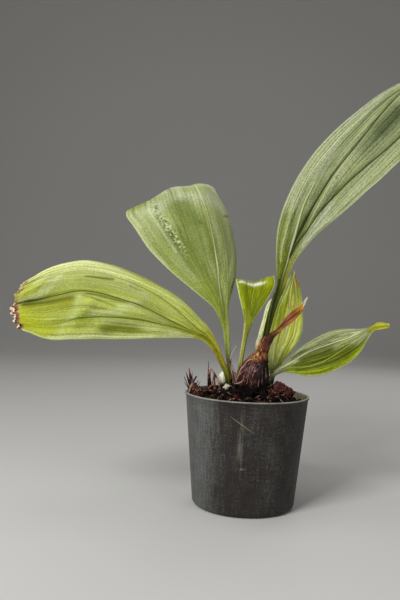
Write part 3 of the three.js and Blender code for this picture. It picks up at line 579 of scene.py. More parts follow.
def flat_places(leaf, s, t):
    """Places on the leaf laid flat, in millimetres across and along."""
    sections = rails(leaf)
    place = t * (len(sections) - 1)
    half_width = np.linalg.norm(through(sections[:, 2], place) - through(sections[:, 0], place), axis=1) / 2
    length = float(np.linalg.norm(np.diff(sections[:, 1], axis=0), axis=1).sum())
    return np.stack([s * half_width, t * length], axis=1)


def away_from(leaf, path, places):
    """How far each place on the flat leaf lies from a path, in millimetres."""
    spots = flat_places(leaf, *np.array(path, float).T)
    away = np.full(len(places), np.inf)
    for start, end in zip(spots, spots[1:]):
        run = end - start
        share = np.clip((places - start) @ run / max(run @ run, 1e-9), 0, 1)
        away = np.minimum(away, np.linalg.norm(places - start - share[:, None] * run, axis=1))
    return away


def crease_place(crease, t):
    shares, places = zip(*crease["path"])
    return np.mean([np.interp(t + step, shares, places) for step in CREASE_STEPS], axis=0)


def arches(name, s, t, half_width):
    """Arches that close at every main fold and at the margins, nought to one."""
    paths = np.sort([crease_place(crease, t) for crease in CREASES[name]], axis=0)
    folds = [np.full_like(t, -1.0), *paths, np.full_like(t, 1.0)]
    arch = np.zeros_like(s)
    for low, high in zip(folds, folds[1:]):
        room = np.maximum(high - low, LEAST_ROOM)
        share = (s - low) / room
        height = np.minimum(1, room * half_width / FULL_PANEL_WIDTH)
        rise = np.sin(math.pi * np.clip(share, 0, 1)) ** PANEL_FLATNESS
        arch = np.where((share >= 0) & (share <= 1), rise * height, arch)
    return arch


def leaf_relief(leaf, name, s, t, half_width, opened):
    """The height of folds, dents and fine ripples in millimetres, towards the viewer."""
    relief = PLEAT_SHARE * leaf["pleat"] * arches(name, s, t, half_width)
    for crease in CREASES[name]:
        away = (s - crease_place(crease, t)) * half_width
        relief = relief - crease["groove"] * np.exp(-(away / GROOVE_WIDTH) ** 2)
        if "crinkle" in crease:
            first, last = crease["span"]
            there = (smooth(first - CRINKLE_FADE, first + CRINKLE_FADE, t)
                     * (1 - smooth(last - CRINKLE_FADE, last + CRINKLE_FADE, t)))
            coarse, fine = CRINKLE_WAVES
            blister = np.sin(fine * t + 1.7 * away) * np.sin(coarse * t - 0.9 * away + 1)
            relief = relief + crease["crinkle"] * there * np.exp(-(away / CRINKLE_WIDTH) ** 2) * blister
    for across, along, wide, tall, height in DENTS[name]:
        relief = relief + height * np.exp(-((s - across) / wide) ** 2 - ((t - along) / tall) ** 2)
    places = flat_places(leaf, s, t)
    for height, wide, path in RIDGES[name]:
        relief = relief + height * np.exp(-(away_from(leaf, path, places) / wide) ** 2)
    seed = ord(name[-1])
    relief = relief + COARSE_RIPPLE * np.sin(41 * t + 3 * s + seed) * np.sin(7 * s + 0.5 * seed)
    relief = relief + FINE_RIPPLE * np.sin(95 * t - 5 * s) * np.cos(13 * s + seed)
    return relief * opened


def leaf_middle(leaf, name, s, t):
    """The leaf's middle surface at s from -1 to 1 across and t from 0 to 1 along."""
    sections = rails(leaf)
    last = len(sections) - 1
    place = t * last
    left, middle, right = (through(sections[:, rail], place) for rail in range(3))
    along = direction(sections[:, 1], place)
    front = unit(np.cross(unit(right - left), along))
    share = np.abs(s)
    edge = np.where((s < 0)[:, None], left, right)
    width = np.linalg.norm(right - left, axis=1)
    tear = leaf.get("tear", 0)
    opened = smooth(leaf["petiole"], leaf["petiole"] + OPENING, place)
    if not tear:
        opened = opened * (1 - smooth(last - CLOSING, last, place))
    opened = opened * np.minimum(1, width / FULL_PLEAT_WIDTH)
    bow = np.where(s < 0, leaf["bow"][0], leaf["bow"][1]) * leaf["upper"]
    phase = np.where(s < 0, *WAVE_STARTS)
    lift = opened * (bow * 4 * share * (1 - share)
                     + leaf["wave"] * share ** 2 * np.sin(2 * math.pi * leaf["waves"] * t + phase))
    lift = lift + leaf_relief(leaf, name, s, t, width / 2, opened)
    torn = tear * smooth(last - 1, last, place) * (0.6 * np.sin(17 * s + 1) + 0.4 * np.sin(31 * s)
                                                   + 0.25 * np.sin(83 * s + 2))
    return middle + (edge - middle) * share[:, None] + front * lift[:, None] + along * torn[:, None]


def leaf_skin(leaf, name, s, t, under, sizes):
    """Points on the front of the leaf, or on its back where under is 1."""
    across = (leaf_middle(leaf, name, np.minimum(s + LEAF_STEP, 1), t)
              - leaf_middle(leaf, name, np.maximum(s - LEAF_STEP, -1), t))
    along = (leaf_middle(leaf, name, s, np.minimum(t + LEAF_STEP, 1))
             - leaf_middle(leaf, name, s, np.maximum(t - LEAF_STEP, 0)))
    front = unit(np.cross(across, along))
    place = t * (len(leaf["sections"]) - 1)
    round_share = 1 - smooth(leaf["petiole"], leaf["petiole"] + FLATTENING, place)
    blade = sizes.blade / MM / 2
    stem = (sizes.petiole / MM / 2 - blade) * np.sqrt(np.maximum(0, 1 - s * s)) * round_share
    keel = sizes.keel / MM * np.exp(-(s / KEEL_WIDTH) ** 2) * (1 - round_share) * (1 - t)
    channel = CHANNEL_DEPTH * np.exp(-(s / CHANNEL_WIDTH) ** 2) * round_share
    above = blade + stem - channel + (keel if leaf["upper"] < 0 else 0)
    below = blade + stem + (keel if leaf["upper"] > 0 else 0)
    return leaf_middle(leaf, name, s, t) + front * np.where(under > 0.5, -below, above)[:, None]


def painted(name, leaf, s, t):
    """Colour and cover of the marks on a leaf, laid one over the other."""
    colour = np.zeros((len(s), 3))
    cover = np.zeros(len(s))
    places = flat_places(leaf, s, t)
    columns, rows = MARK_GRID
    across, along = (grid.ravel() for grid in np.meshgrid(
        np.linspace(-MARK_REACH, MARK_REACH, columns), np.linspace(0, leaf.get("turns_back", 1), rows)))
    seen = in_picture(leaf_middle(leaf, name, across, along))
    for code, strength, wide, *pixels in MARKS[name].values():
        nearest = [np.argmin(((seen - spot) ** 2).sum(axis=1)) for spot in np.reshape(pixels, (-1, 2))]
        on_leaf = list(zip(across[nearest], along[nearest]))
        laid = strength * np.exp(-(away_from(leaf, on_leaf, places) / wide) ** 2)
        colour = colour * (1 - laid)[:, None] + np.array(linear(code)[:3]) * laid[:, None]
        cover = cover + (1 - cover) * laid
    return np.column_stack([colour / np.maximum(cover, 1e-6)[:, None], cover])


def blade_mesh(name, leaf, grid, sizes):
    """Draws a flat slab out over the leaf, and keeps what the leaf's material reads."""
    mesh, s, t, under = slab(name, *grid)
    corners = np.empty(len(mesh.loops), dtype=np.int32)
    mesh.loops.foreach_get("vertex_index", corners)
    chart = mesh.uv_layers.new(name="leaf")
    places = np.stack([(s[corners] + 1) / 2, t[corners]], axis=1)
    chart.data.foreach_set("uv", places.astype(np.float32).ravel())

    normals = np.empty(len(mesh.polygons) * 3)
    mesh.polygons.foreach_get("normal", normals)
    facing = normals.reshape(-1, 3)[:, 2] * leaf["upper"]
    keep(mesh, "underside", "FLOAT", np.where(facing < -0.5, 1, 0), "FACE")
    half_width = flat_places(leaf, np.ones_like(t), t)[:, 0]
    keep(mesh, "margin", "FLOAT", (1 - np.abs(s)) * half_width + np.maximum(0, NARROW - half_width))
    # The arches between the folds, by which the material paints shade towards each fold
    keep(mesh, "ridge", "FLOAT", arches(name, s, t, half_width))
    for number, crease in enumerate(CREASES[name]):
        keep(mesh, f"crease_{number}", "FLOAT", (s - crease_place(crease, t)) * half_width)
    keep(mesh, "marks", "FLOAT_COLOR", painted(name, leaf, s, t))
    place_slab(mesh, leaf_skin(leaf, name, s, t, under, sizes))
    return mesh


# Marks on each leaf, picked from the photograph: its colour, its strength, its half width in
# millimetres, and x and y in turn of the pixels that it runs through
MARKS = {
    "leaf_a": {
        # Painted highlight over the pale margin, where the upper edge faces the light
        "cream upper edge": ("#dde29c", 0.95, 7, 27, 280, 40, 273, 55, 267, 75, 264.5, 95, 266.5, 110, 270,
            122, 275),
        "cream rim": ("#e3e7a8", 0.9, 3, 27, 278, 40, 270, 55, 264, 75, 261.5, 95, 263.5, 110, 267.5,
            124, 273),
        "cream upper band": ("#d5db92", 0.85, 6, 38, 281, 52, 274, 70, 270, 90, 270, 110, 274, 126, 280),
        "cream upper edge, further in": ("#c8d07c", 0.75, 5, 124, 275, 142, 284, 160, 292, 178, 304),
        "grey-green film under the upper vein": ("#aeb87a", 0.55, 4, 55, 281, 80, 275, 110, 283, 145, 297),
        "film over the middle": ("#a3ad66", 0.5, 5, 60, 286, 85, 284, 108, 287, 130, 295),
        # Painted shade in a small pinched fold and round it
        "dark pinch": ("#525b14", 0.95, 1.4, 87, 277, 100, 278.5, 113, 279.5),
        "shade round the pinch": ("#8c9748", 0.5, 3.2, 78, 279, 100, 281, 120, 283),
        # Painted highlight on a diagonal ridge; painted shade in the wrinkles and a painted highlight on
        # them
        "pale diagonal ridge": ("#d0d89a", 0.85, 3, 60, 276, 51, 283, 45, 291, 38, 297, 27, 301, 18, 303),
        "wrinkle": ("#7b8640", 0.7, 1.2, 37, 289, 45, 283),
        "wrinkle beside it": ("#848f46", 0.6, 1.2, 46, 280, 55, 277),
        "pale smear": ("#cdd5a0", 0.5, 1.8, 40, 279, 56, 275),
        # Painted highlight on a streak, with painted shade below it
        "highlight streak": ("#bfc798", 0.6, 1.5, 127, 283, 139, 290, 147, 297),
        "dark streak below it": ("#68722f", 0.8, 0.9, 130, 286, 141, 291),
        "olive fold shade": ("#585a00", 0.95, 4.5, 24, 305, 42, 303.5, 58, 301, 72, 298.5),
        "olive fold shade, lower": ("#82870a", 0.8, 6, 25, 311, 42, 311, 60, 307, 70, 304),
        "lime corner": ("#a5ac18", 0.8, 9, 20, 316, 34, 324, 48, 332),
        "curled pale edge": ("#e8d9bd", 0.95, 1, 25, 281, 21, 287, 18, 293),
        "brown behind the curl": ("#86604a", 0.7, 0.8, 26.5, 282, 22.5, 288, 19.5, 294),
        # Painted highlight on the cross fold, with painted shade in the streaks beside it
        "pale cross fold": ("#bcc87a", 0.7, 2.6, 79, 293, 78, 302, 75, 311, 70, 320),
        "dark streak": ("#717b30", 0.8, 1.2, 83, 296, 98, 300, 115, 306),
        "dark streak above": ("#6b752c", 0.85, 1.3, 88, 294, 108, 298, 128, 303),
        "short streak": ("#737d32", 0.7, 1, 94, 307, 106, 309),
        "shade above the lower vein": ("#8b9638", 0.5, 3, 85, 314, 112, 317, 140, 320),
        # Painted highlights on a patch and on a slope, with painted shade under the slope
        "pale patch": ("#c0ca92", 0.55, 2.6, 93, 313, 110, 312.5),
        "pale slope": ("#c0ca8c", 0.65, 3.4, 139, 302, 129, 306, 117, 312),
        "shade under the slope": ("#8a9540", 0.55, 2.2, 143, 305, 152, 311, 163, 317),
        # Painted highlight on the band below the lower vein, with painted shade in the hollow under it
        "pale band below the lower vein": ("#c0c984", 0.75, 2.4, 104, 320, 130, 323, 152, 328, 178, 333),
        "dark hollow": ("#717a10", 0.85, 4.6, 104, 330, 118, 328, 134, 331),
        "dark hollow, drawn out": ("#848c20", 0.8, 2.4, 134, 332, 150, 334, 166, 335),
        "pale lower edge": ("#d0d896", 0.9, 1.7, 48, 338.5, 75, 338, 110, 336.5, 150, 336, 193, 336.5),
        "pale stripe": ("#bcc67c", 0.6, 1.6, 66, 322, 59, 335),
        "pale stripe beside it": ("#b9c376", 0.5, 1.3, 96, 325, 88, 336),
        "olive patch": ("#828e22", 0.65, 3.4, 78, 326, 90, 323),
        "shade above the middle vein": ("#8b973e", 0.55, 2.4, 95, 288, 128, 295, 160, 309),
        "pale field": ("#b7c27c", 0.45, 3.4, 140, 311, 166, 322),
        "yellow stalk": ("#b9ba24", 0.95, 4, 194, 334, 204, 340, 212, 350),
        "ochre edge of the stalk": ("#96802c", 0.8, 1.4, 214, 350, 222, 356, 227, 366),
    },
    "leaf_b": {
        "pale upper edge": ("#c4caa2", 0.8, 7, 131, 212, 146, 203, 162, 194, 181, 186, 206, 185, 217, 192),
        "pale left edge": ("#b6be8c", 0.7, 1.6, 130, 217, 140, 236, 152, 253, 166, 268),
        "silver top band": ("#bfc6a2", 0.7, 9, 150, 212, 165, 203, 182, 197, 200, 197, 215, 203),
        "silver right top": ("#bcc39e", 0.6, 5, 210, 196, 221, 208, 226, 218),
        "silver left corner": ("#bcc494", 0.55, 9, 138, 214, 150, 222, 158, 232),
        "deep middle field": ("#6c7b34", 0.75, 11, 172, 236, 184, 248, 194, 262),
        "shaded middle of the left side": ("#84924c", 0.3, 7, 150, 222, 165, 246, 182, 268),
        "dark middle": ("#6b7940", 0.75, 8, 182, 204, 190, 213, 197, 221),
        "dark middle, softer": ("#72813c", 0.65, 11, 180, 208, 192, 224, 204, 246),
        "pale patch at the tip": ("#b5bd94", 0.55, 4, 176, 188, 178, 197),
        "pale patch beside the midrib": ("#abb582", 0.6, 5, 204, 192, 214, 200),
        "green field at the right": ("#93a34c", 0.55, 7, 220, 215, 228, 240, 229, 265),
        "shade of the valley": ("#7d8d3c", 0.5, 4, 196, 256, 206, 276, 213, 292),
        "dark lower vein": ("#64732a", 0.6, 0.8, 188, 262, 203, 284, 214, 302),
        "dark lower vein beside it": ("#64732a", 0.6, 0.8, 204, 264, 211, 284, 218, 306),
        "lit lower left": ("#a0ae52", 0.5, 3, 172, 270, 188, 286, 204, 299),
        "green base": ("#86942a", 0.7, 6, 206, 282, 215, 296, 221, 312, 224, 325),
        "pale vein beside the crinkle": ("#bcc896", 0.8, 0.8, 145, 207, 156, 222, 163, 233, 176, 253),
        "notch mark": ("#2c3510", 0.95, 1, 223, 216.5, 228, 217),
        "grey spot": ("#4c5830", 0.8, 1.5, 200, 222, 200.5, 223),
        "yellow stalk": ("#a5a538", 0.7, 1.6, 225, 320, 227, 345),
        "brown side of the stalk": ("#5a3a1a", 0.9, 1.1, 230, 356, 231, 364, 231, 372),
        "straw lower stalk": ("#a89c58", 0.85, 1.2, 226.5, 352, 227.5, 360, 228, 368),
    },
    "leaf_c": {
        "shade under the lip": ("#78850a", 0.7, 2.5, 240, 289, 250, 289, 262, 290),
        "white lip": ("#e9ebcc", 1, 2.1, 240, 282, 246, 283.5, 252, 285, 258, 285, 264, 283),
        "thick end of the lip": ("#f2f2de", 1, 2.8, 254, 285, 262, 283.5),
        "lit right ear": ("#a3b00c", 0.8, 3, 268, 277, 271, 284),
        "dark fold": ("#5c6804", 0.8, 1.2, 247, 289, 249, 300, 251, 315),
        "dark fold beside it": ("#667206", 0.7, 1.2, 256, 291, 255, 302, 252, 315),
        "dark right side": ("#6d7a04", 0.6, 1.8, 264, 290, 260, 303, 255, 316),
        "pale left edge": ("#b9c64a", 0.8, 0.9, 237, 284, 240, 296, 244, 308),
        # Painted light on the stalk: lit down its left side and painted shade down its right
        "lit stalk": ("#c6c478", 0.9, 1.7, 244, 325, 242, 345, 240, 362),
        "dark side of the stalk": ("#6c7424", 0.75, 1, 248, 325, 246, 345, 244, 362),
    },
    "leaf_d": {
        "grey upper edge": ("#a9af8c", 0.65, 4, 284, 204, 301, 175, 321, 148, 346, 122, 371, 104, 397, 86),
        "pale patch near the top": ("#b4b99e", 0.7, 3.5, 350, 120, 362, 109, 380, 98),
        # Painted shade beside the midrib, on the side that turns from the light
        "olive band beside the midrib": ("#6f7b50", 0.75, 3.6, 331, 166, 351, 139, 371, 114, 393, 93),
        "dark hollow": ("#616e46", 0.8, 12, 368, 146, 382, 132, 397, 118),
        "core of the hollow": ("#47532e", 0.75, 7, 381, 128, 398, 114),
        "olive slope": ("#8c965c", 0.6, 4.5, 330, 196, 345, 178, 357, 163),
        # Painted highlight on a slope
        "highlight on the slope": ("#b4bea4", 0.8, 3, 305, 241, 318, 223, 331, 207),
        "lit right half": ("#a1aa7a", 0.55, 5, 331, 214, 355, 192, 380, 171, 398, 152),
        "pale right edge": ("#b4ba98", 0.75, 1.5, 302, 245, 320, 228, 346, 209, 376, 186, 398, 163),
        "olive foot at the left": ("#6b7624", 0.85, 4, 281, 266, 283, 240, 289, 216),
        "pale vein at the left": ("#b2bb80", 0.85, 0.8, 281, 262, 285, 236, 293, 206),
        "dark line at the left": ("#4e5a18", 0.8, 0.9, 284.5, 264, 289, 238, 296, 210),
        "dark green foot": ("#4a560a", 0.9, 2.8, 291, 254, 299, 235, 308, 217),
        # Painted highlight on a streak
        "highlight streak": ("#a9ae98", 0.7, 2.6, 321, 174, 327, 164, 333, 156),
        "olive streak": ("#65703e", 0.6, 1.6, 311, 200, 322, 180, 334, 160),
        "shaded second line": ("#667148", 0.4, 2.6, 331, 213, 350, 190, 372, 168, 396, 146),
        "yellow-olive foot": ("#858a0a", 0.85, 2.6, 279, 287, 283, 270, 287, 254),
        "ochre foot": ("#99901e", 0.85, 1.3, 284, 284, 290, 266, 295, 255),
        # The stalk's dark olive, with painted shade in its channel
        "dark channel of the stalk": ("#2b350a", 0.95, 1.5, 279, 280, 274, 300, 269, 320, 265, 338),
        "lit stripe of the stalk": ("#7d8850", 0.9, 0.7, 274, 290, 270.5, 308, 268, 324, 265.5, 337),
        "dark left side of the stalk": ("#343f0c", 0.9, 0.8, 272, 292, 268, 308, 265, 324),
    },
    "leaf_e": {
        "cream left edge": ("#e2e6cc", 0.95, 2, 270, 299, 264, 314, 260, 330, 257, 345),
        "cream left foot": ("#cdd49e", 0.85, 1.8, 273, 340, 271, 350, 271, 358, 273, 367),
        "cream shoulder": ("#d3dab0", 0.85, 2.2, 283, 292, 278, 300, 274, 312),
        "olive body": ("#929c04", 0.75, 4.5, 279, 322, 283, 308, 288, 298, 293, 290),
        "pale vein at the right edge": ("#c9d488", 0.8, 0.8, 281, 362, 292, 348, 299, 330),
        "pale vein at the foot": ("#e4eab0", 1, 0.8, 275, 366, 281, 348, 287, 330, 290, 318),
        "pale vein beside it": ("#dde4a6", 1, 0.7, 273, 360, 276, 344, 279, 328),
        "dark streak": ("#6f7c10", 0.6, 1.2, 277, 330, 280, 312, 284, 296),
        "dark streak beside it": ("#76831a", 0.55, 1, 282, 345, 289, 326, 293, 306),
        "dark streak at the right": ("#7c8820", 0.55, 0.9, 286, 352, 294, 338, 299, 318),
        "lit left shoulder": ("#c9d296", 0.8, 2.6, 280, 300, 286, 288, 291, 277),
        "ochre patch": ("#a8902e", 0.75, 1.6, 289, 300, 289, 307),
        "rusty edge at the tip": ("#c06a2a", 0.95, 1.3, 293.5, 274, 296, 280, 299, 286),
        "yellow beside it": ("#c4ae40", 0.8, 1.6, 292, 279, 295, 286),
        "pale right edge": ("#ccd68e", 0.85, 1.1, 301, 292, 303, 310, 301, 332, 296, 350),
    },
    "leaf_f": {
        "grey upper half": ("#b0b684", 0.75, 9, 297, 354, 315, 344, 335, 337, 358, 332),
        "pale upper edge": ("#c4c9a4", 0.75, 3, 292, 356, 310, 343, 330, 333.5, 352, 330.5, 366, 329.5),
        "dark wedge": ("#3f4a2a", 0.95, 2.4, 293, 358, 302, 352),
        "cream stalk": ("#eaeccb", 0.95, 1.6, 273, 376, 277, 372, 281, 368.5, 288, 364.5, 296, 361),
        "dark wedge, drawn out": ("#5a6540", 0.75, 1.6, 302, 352, 316, 346, 330, 342),
        "grey streak of the upper half": ("#6b7650", 0.75, 1.3, 318, 343, 334, 337.5, 352, 334),
        "shade under the midrib": ("#445008", 0.95, 2.4, 303, 360, 322, 354, 338, 348),
        "dark smudge": ("#667148", 0.6, 1.5, 331, 337, 337, 335.5),
        "light patch": ("#a9b274", 0.7, 3, 337, 347, 345, 342, 354, 336),
        "silver shoulder": ("#b6bb92", 0.75, 3, 351, 345, 359, 339, 367, 333),
        "deep green field": ("#566304", 0.85, 5, 300, 368, 318, 366, 336, 360, 350, 352),
        "dark green spot": ("#4f5c08", 0.8, 4, 344, 357, 354, 349),
        "lime rim": ("#8a960a", 0.85, 2.6, 290, 371, 310, 373.5, 332, 370.5, 350, 361, 362, 348),
        "dark lower vein": ("#4b5706", 0.8, 0.8, 292, 366, 312, 361, 332, 354, 350, 344),
        "dark lowest vein": ("#4f5b06", 0.75, 0.8, 296, 371, 316, 368, 336, 361, 352, 351),
        "pale lower edge": ("#9aa52c", 0.6, 0.8, 292, 373, 310, 375.5, 330, 372.5, 350, 363, 364, 346),
        "yellow tip": ("#dad432", 1, 3.4, 372, 329, 380, 326, 389, 323.5),
        "bleached end": ("#e6dfa8", 0.95, 1.6, 388, 323.5, 391, 323.5),
    },
}


# Materials


def feed(tree, node, inputs):
    """Gives a node's inputs their values or links."""
    for key, value in inputs.items():
        socket = node.inputs[key] if isinstance(key, int) else next(
            item for item in node.inputs if item.name == key and item.enabled)
        if isinstance(value, bpy.types.Node):
            value = next(item for item in value.outputs if item.enabled)
        if isinstance(value, bpy.types.NodeSocket):
            tree.links.new(value, socket)
        else:
            socket.default_value = full_colour(value) if socket.type == "RGBA" else value


def add_node(tree, kind, settings=None, inputs=None, stops=None):
    """Adds a node with its settings, its inputs as values or links, and a colour ramp's stops."""
    node = tree.nodes.new("ShaderNode" + kind)
    for key, value in (settings or {}).items():
        setattr(node, key, value)
    if stops:
        elements = node.color_ramp.elements
        elements[0].position = stops[0][0]
        elements[1].position = stops[-1][0]
        for position, _ in stops[1:-1]:
            elements.new(position)
        for element, (_, colour) in zip(elements, stops):
            element.color = full_colour(colour)
    feed(tree, node, inputs or {})
    return node


def mask(tree, *parts):
    """The product of its parts: numbers, links, and fades that run smoothly from low at start to high
    at end. A fade is (value, start, end), with low and high after them where they aren't 0 and 1."""
    product = None
    for part in parts:
        if isinstance(part, tuple):
            keys = ("Value", "From Min", "From Max", "To Min", "To Max")
            part = add_node(tree, "MapRange", {"interpolation_type": "SMOOTHSTEP"},
                            dict(zip(keys, part)))
        product = part if product is None else add_node(
            tree, "Math", {"operation": "MULTIPLY"}, {0: product, 1: part})
    return product


def total(tree, base, *shares):
    """A base plus patterns or fades, each times its share."""
    for pattern, share in shares:
        base = add_node(tree, "Math", {"operation": "MULTIPLY_ADD"},
                        {0: mask(tree, pattern), 1: share, 2: base})
    return base


def paint(tree, base, *layers, way="MIX"):
    """Lays colours over a base. A layer is a colour and the parts of its mask."""
    for colour, *parts in layers:
        base = add_node(tree, "Mix", {"data_type": "RGBA", "blend_type": way},
                        {"Factor": mask(tree, *parts), "A": base, "B": colour})
    return base


def grain(tree, coordinates, stretch, detail=4, rough=0.55):
    """Noise whose grains measure one over stretch, in the coordinates' own units."""
    laid = add_node(tree, "Mapping", inputs={"Vector": coordinates, "Scale": stretch})
    return add_node(tree, "TexNoise", inputs={"Vector": laid, "Scale": 1.0, "Detail": detail,
                                               "Roughness": rough})


def blot(tree, coordinates, centre, reach, turn=0.0, edge=0.5):
    """One inside an ellipse round the centre and nought outside it."""
    laid = add_node(tree, "Mapping", {"vector_type": "TEXTURE"},
                    {"Vector": coordinates, "Location": centre, "Rotation": (0, turn, 0), "Scale": reach})
    away = add_node(tree, "VectorMath", {"operation": "LENGTH"}, {0: laid})
    return mask(tree, (away, 1, 1 - edge))


def new_material(name, roughness, index, specular=0.5):
    """A surface with its shader, whose gloss starts from the real thing's, and the object's places."""
    material = bpy.data.materials.new(name)
    material.use_nodes = True
    tree = material.node_tree
    tree.nodes.clear()
    shader = add_node(tree, "BsdfPrincipled",
                      inputs={"Roughness": roughness, "IOR": index, "Specular IOR Level": specular})
    add_node(tree, "OutputMaterial", inputs={"Surface": shader})
    return material, tree, shader, add_node(tree, "TexCoord").outputs["Object"]


def dress(tree, shader, colour, roughness, relief, depth, strength):
    """Gives the shader its colour, its roughness and a relief of the given depth in metres."""
    bump = add_node(tree, "Bump", inputs={"Height": relief, "Distance": depth, "Strength": strength})
    feed(tree, shader, {"Base Color": colour, "Roughness": mask(tree, roughness), "Normal": bump})


# Marks on the front of the pot, in metres: centre, reach and strength of the drips below the seam, and
# one long scratch, with its turn in degrees
DRIPS = [((-0.0085, -0.052, 0.069), (0.0038, 0.02, 0.037), 0.35),
         ((-0.0065, -0.052, 0.0465), (0.006, 0.02, 0.0016), 0.4)]
SCRATCH_AT = (-0.0083, -0.058, 0.0876)
SCRATCH_REACH = (0.016, 0.03, 0.00045)
SCRATCH_TURN = 33.5


def moulded_plastic(pot):
    """Recycled polypropylene, injection moulded: a dull black skin that picks up chalky dust in
    upright streaks, pale scuffs and a worn rim; its left side is painted paler, with a painted sheen."""
    material, tree, shader, body = new_material(
        "moulded_recycled_polypropylene", roughness=0.55, index=1.49, specular=0.35)
    places = add_node(tree, "SeparateXYZ", inputs={0: body})
    up = places.outputs["Z"]
    # Rub marks 1.5 mm tall and 12 mm wide, streaks some 2 mm wide and 70 mm tall, panels of 20 mm,
    # clouds of 12 mm, specks of 1.5 mm
    rings = grain(tree, body, (90, 90, 700), detail=3, rough=0.6)
    streaks = grain(tree, body, (430, 430, 14), detail=4, rough=0.6)
    panels = grain(tree, body, (52, 52, 5), detail=2)
    clouds = grain(tree, body, (80, 80, 60))
    specks = grain(tree, body, (900, 900, 700), detail=2)
    # Painted light: the left side, where the key light falls, is painted paler along with the dust,
    # and gets a painted cold sheen
    side = mask(tree, (places.outputs["X"], -0.018, -0.046, 0, 0.62))
    dust_and_painted_light = total(tree, side, (streaks, 0.9), (rings, 0.6), (panels, 0.7), (clouds, 0.5), (specks, 1.1))
    colour = paint(tree, pot.plastic, (pot.dust, (dust_and_painted_light, 1.8, 2.75)),
                   ("#302b27", (clouds, 0.42, 0.6, 0, 0.35)),
                   # Painted cold sheen on the lit left side
                   ("#70757a", side, (streaks, 0.4, 0.7, 0.1, 0.5)),
                   (pot.scuff, (specks, 0.67, 0.78, 0, 0.12)))
    for centre, reach, strength in DRIPS:
        drip = blot(tree, body, centre, reach, edge=0.9)
        colour = paint(tree, colour, (pot.scuff, drip, (streaks, 0.35, 0.6, 0, strength)))
    scratch = blot(tree, body, SCRATCH_AT, SCRATCH_REACH, math.radians(SCRATCH_TURN), edge=0.6)
    # The inside lies nearer the axis than the middle of the leaning wall
    level = add_node(tree, "VectorMath", {"operation": "MULTIPLY"}, {0: body, 1: (1, 1, 0)})
    reach = add_node(tree, "VectorMath", {"operation": "LENGTH"}, {0: level})
    foot = total(tree, reach, (up, (pot.base_radius - pot.rim_radius) / pot.height))
    inside = mask(tree, (foot, pot.base_radius - 0.3 * pot.wall, pot.base_radius - 0.7 * pot.wall),
                  (up, 0.085, 0.09))
    # Lime dried in streaks on the inside, and a rim that is worn and has a painted highlight along its top
    colour = paint(tree, colour, ("#8f8763", scratch, 0.8),
                   ("#8f8869", inside, (streaks, 0.35, 0.6, 0.1, 0.9)),
                   ("#a3a097", (up, 0.1066, 0.1078), (clouds, 0.3, 0.6, 0.5, 0.9)))
    dress(tree, shader, colour, (streaks, 0.3, 0.7, 0.5, 0.7), dust_and_painted_light, depth=0.0004, strength=0.3)
    return material


def bark_bits(mix):
    """Damp fir bark and coir: rough and dull, black where it is wet, red-brown on split faces and
    straw-coloured along dry fibres, with painted shade below the bulb."""
    material, tree, shader, body = new_material(
        "damp_bark_and_coir", roughness=0.85, index=1.5, specular=0.12)
    tone = add_node(tree, "Attribute", {"attribute_name": "tone"}).outputs["Fac"]
    # Crumbs of 2 mm and patches of 9 mm
    crumbs = grain(tree, body, (500, 500, 500), detail=4, rough=0.65)
    patches = grain(tree, body, (110, 110, 110), detail=3)
    shade = total(tree, tone, ((crumbs, 0.3, 0.7, -0.26, 0.26), 1))
    colour = add_node(tree, "ValToRGB", inputs={0: shade}, stops=[
        (0.0, mix.damp), (0.4, "#0e0605"), (0.62, mix.bark), (0.8, "#7b4538"), (1.0, mix.husk)])
    # Painted shade below the bulb, over the damp hollow there
    hollow = blot(tree, body, (0.002, -0.026, 0.112), (0.027, 0.022, 0.03), edge=0.4)
    colour = paint(tree, colour, (mix.damp, (patches, 0.6, 0.44, 0, 0.9)), (mix.damp, hollow, 0.85))
    dress(tree, shader, colour, (crumbs, 0.3, 0.7, 0.62, 0.95), crumbs, depth=0.001, strength=0.8)
    return material


def fibre_shade(tree, body, contrast):
    """How pale dead fibres are, nought to one, and their own relief."""
    flow, tone = (add_node(tree, "Attribute", {"attribute_name": key}) for key in ("flow", "tone"))
    # Fibres about 1 mm wide and 15 mm long over patches of 7 mm
    fibres = grain(tree, flow.outputs["Vector"], (900, 900, 60), detail=4, rough=0.6)
    patches = grain(tree, body, (150, 150, 150), detail=3)
    shade = total(tree, tone.outputs["Fac"], ((fibres, 0.34, 0.68, -contrast, contrast), 1),
                  ((patches, 0.3, 0.7, -0.16, 0.16), 1))
    return shade, fibres


def dry_sheath(name, low, middle, high):
    """Dead sheath tissue: parallel fibres with a dry skin, dark between the fibres and worn pale
    along their crests."""
    material, tree, shader, body = new_material(name, roughness=0.7, index=1.45, specular=0.3)
    shade, fibres = fibre_shade(tree, body, contrast=0.35)
    colour = add_node(tree, "ValToRGB", inputs={0: shade},
                      stops=[(0.05, low), (0.45, middle), (0.9, high)])
    dress(tree, shader, colour, (fibres, 0.3, 0.7, 0.8, 0.55), fibres, depth=0.0008, strength=0.9)
    return material


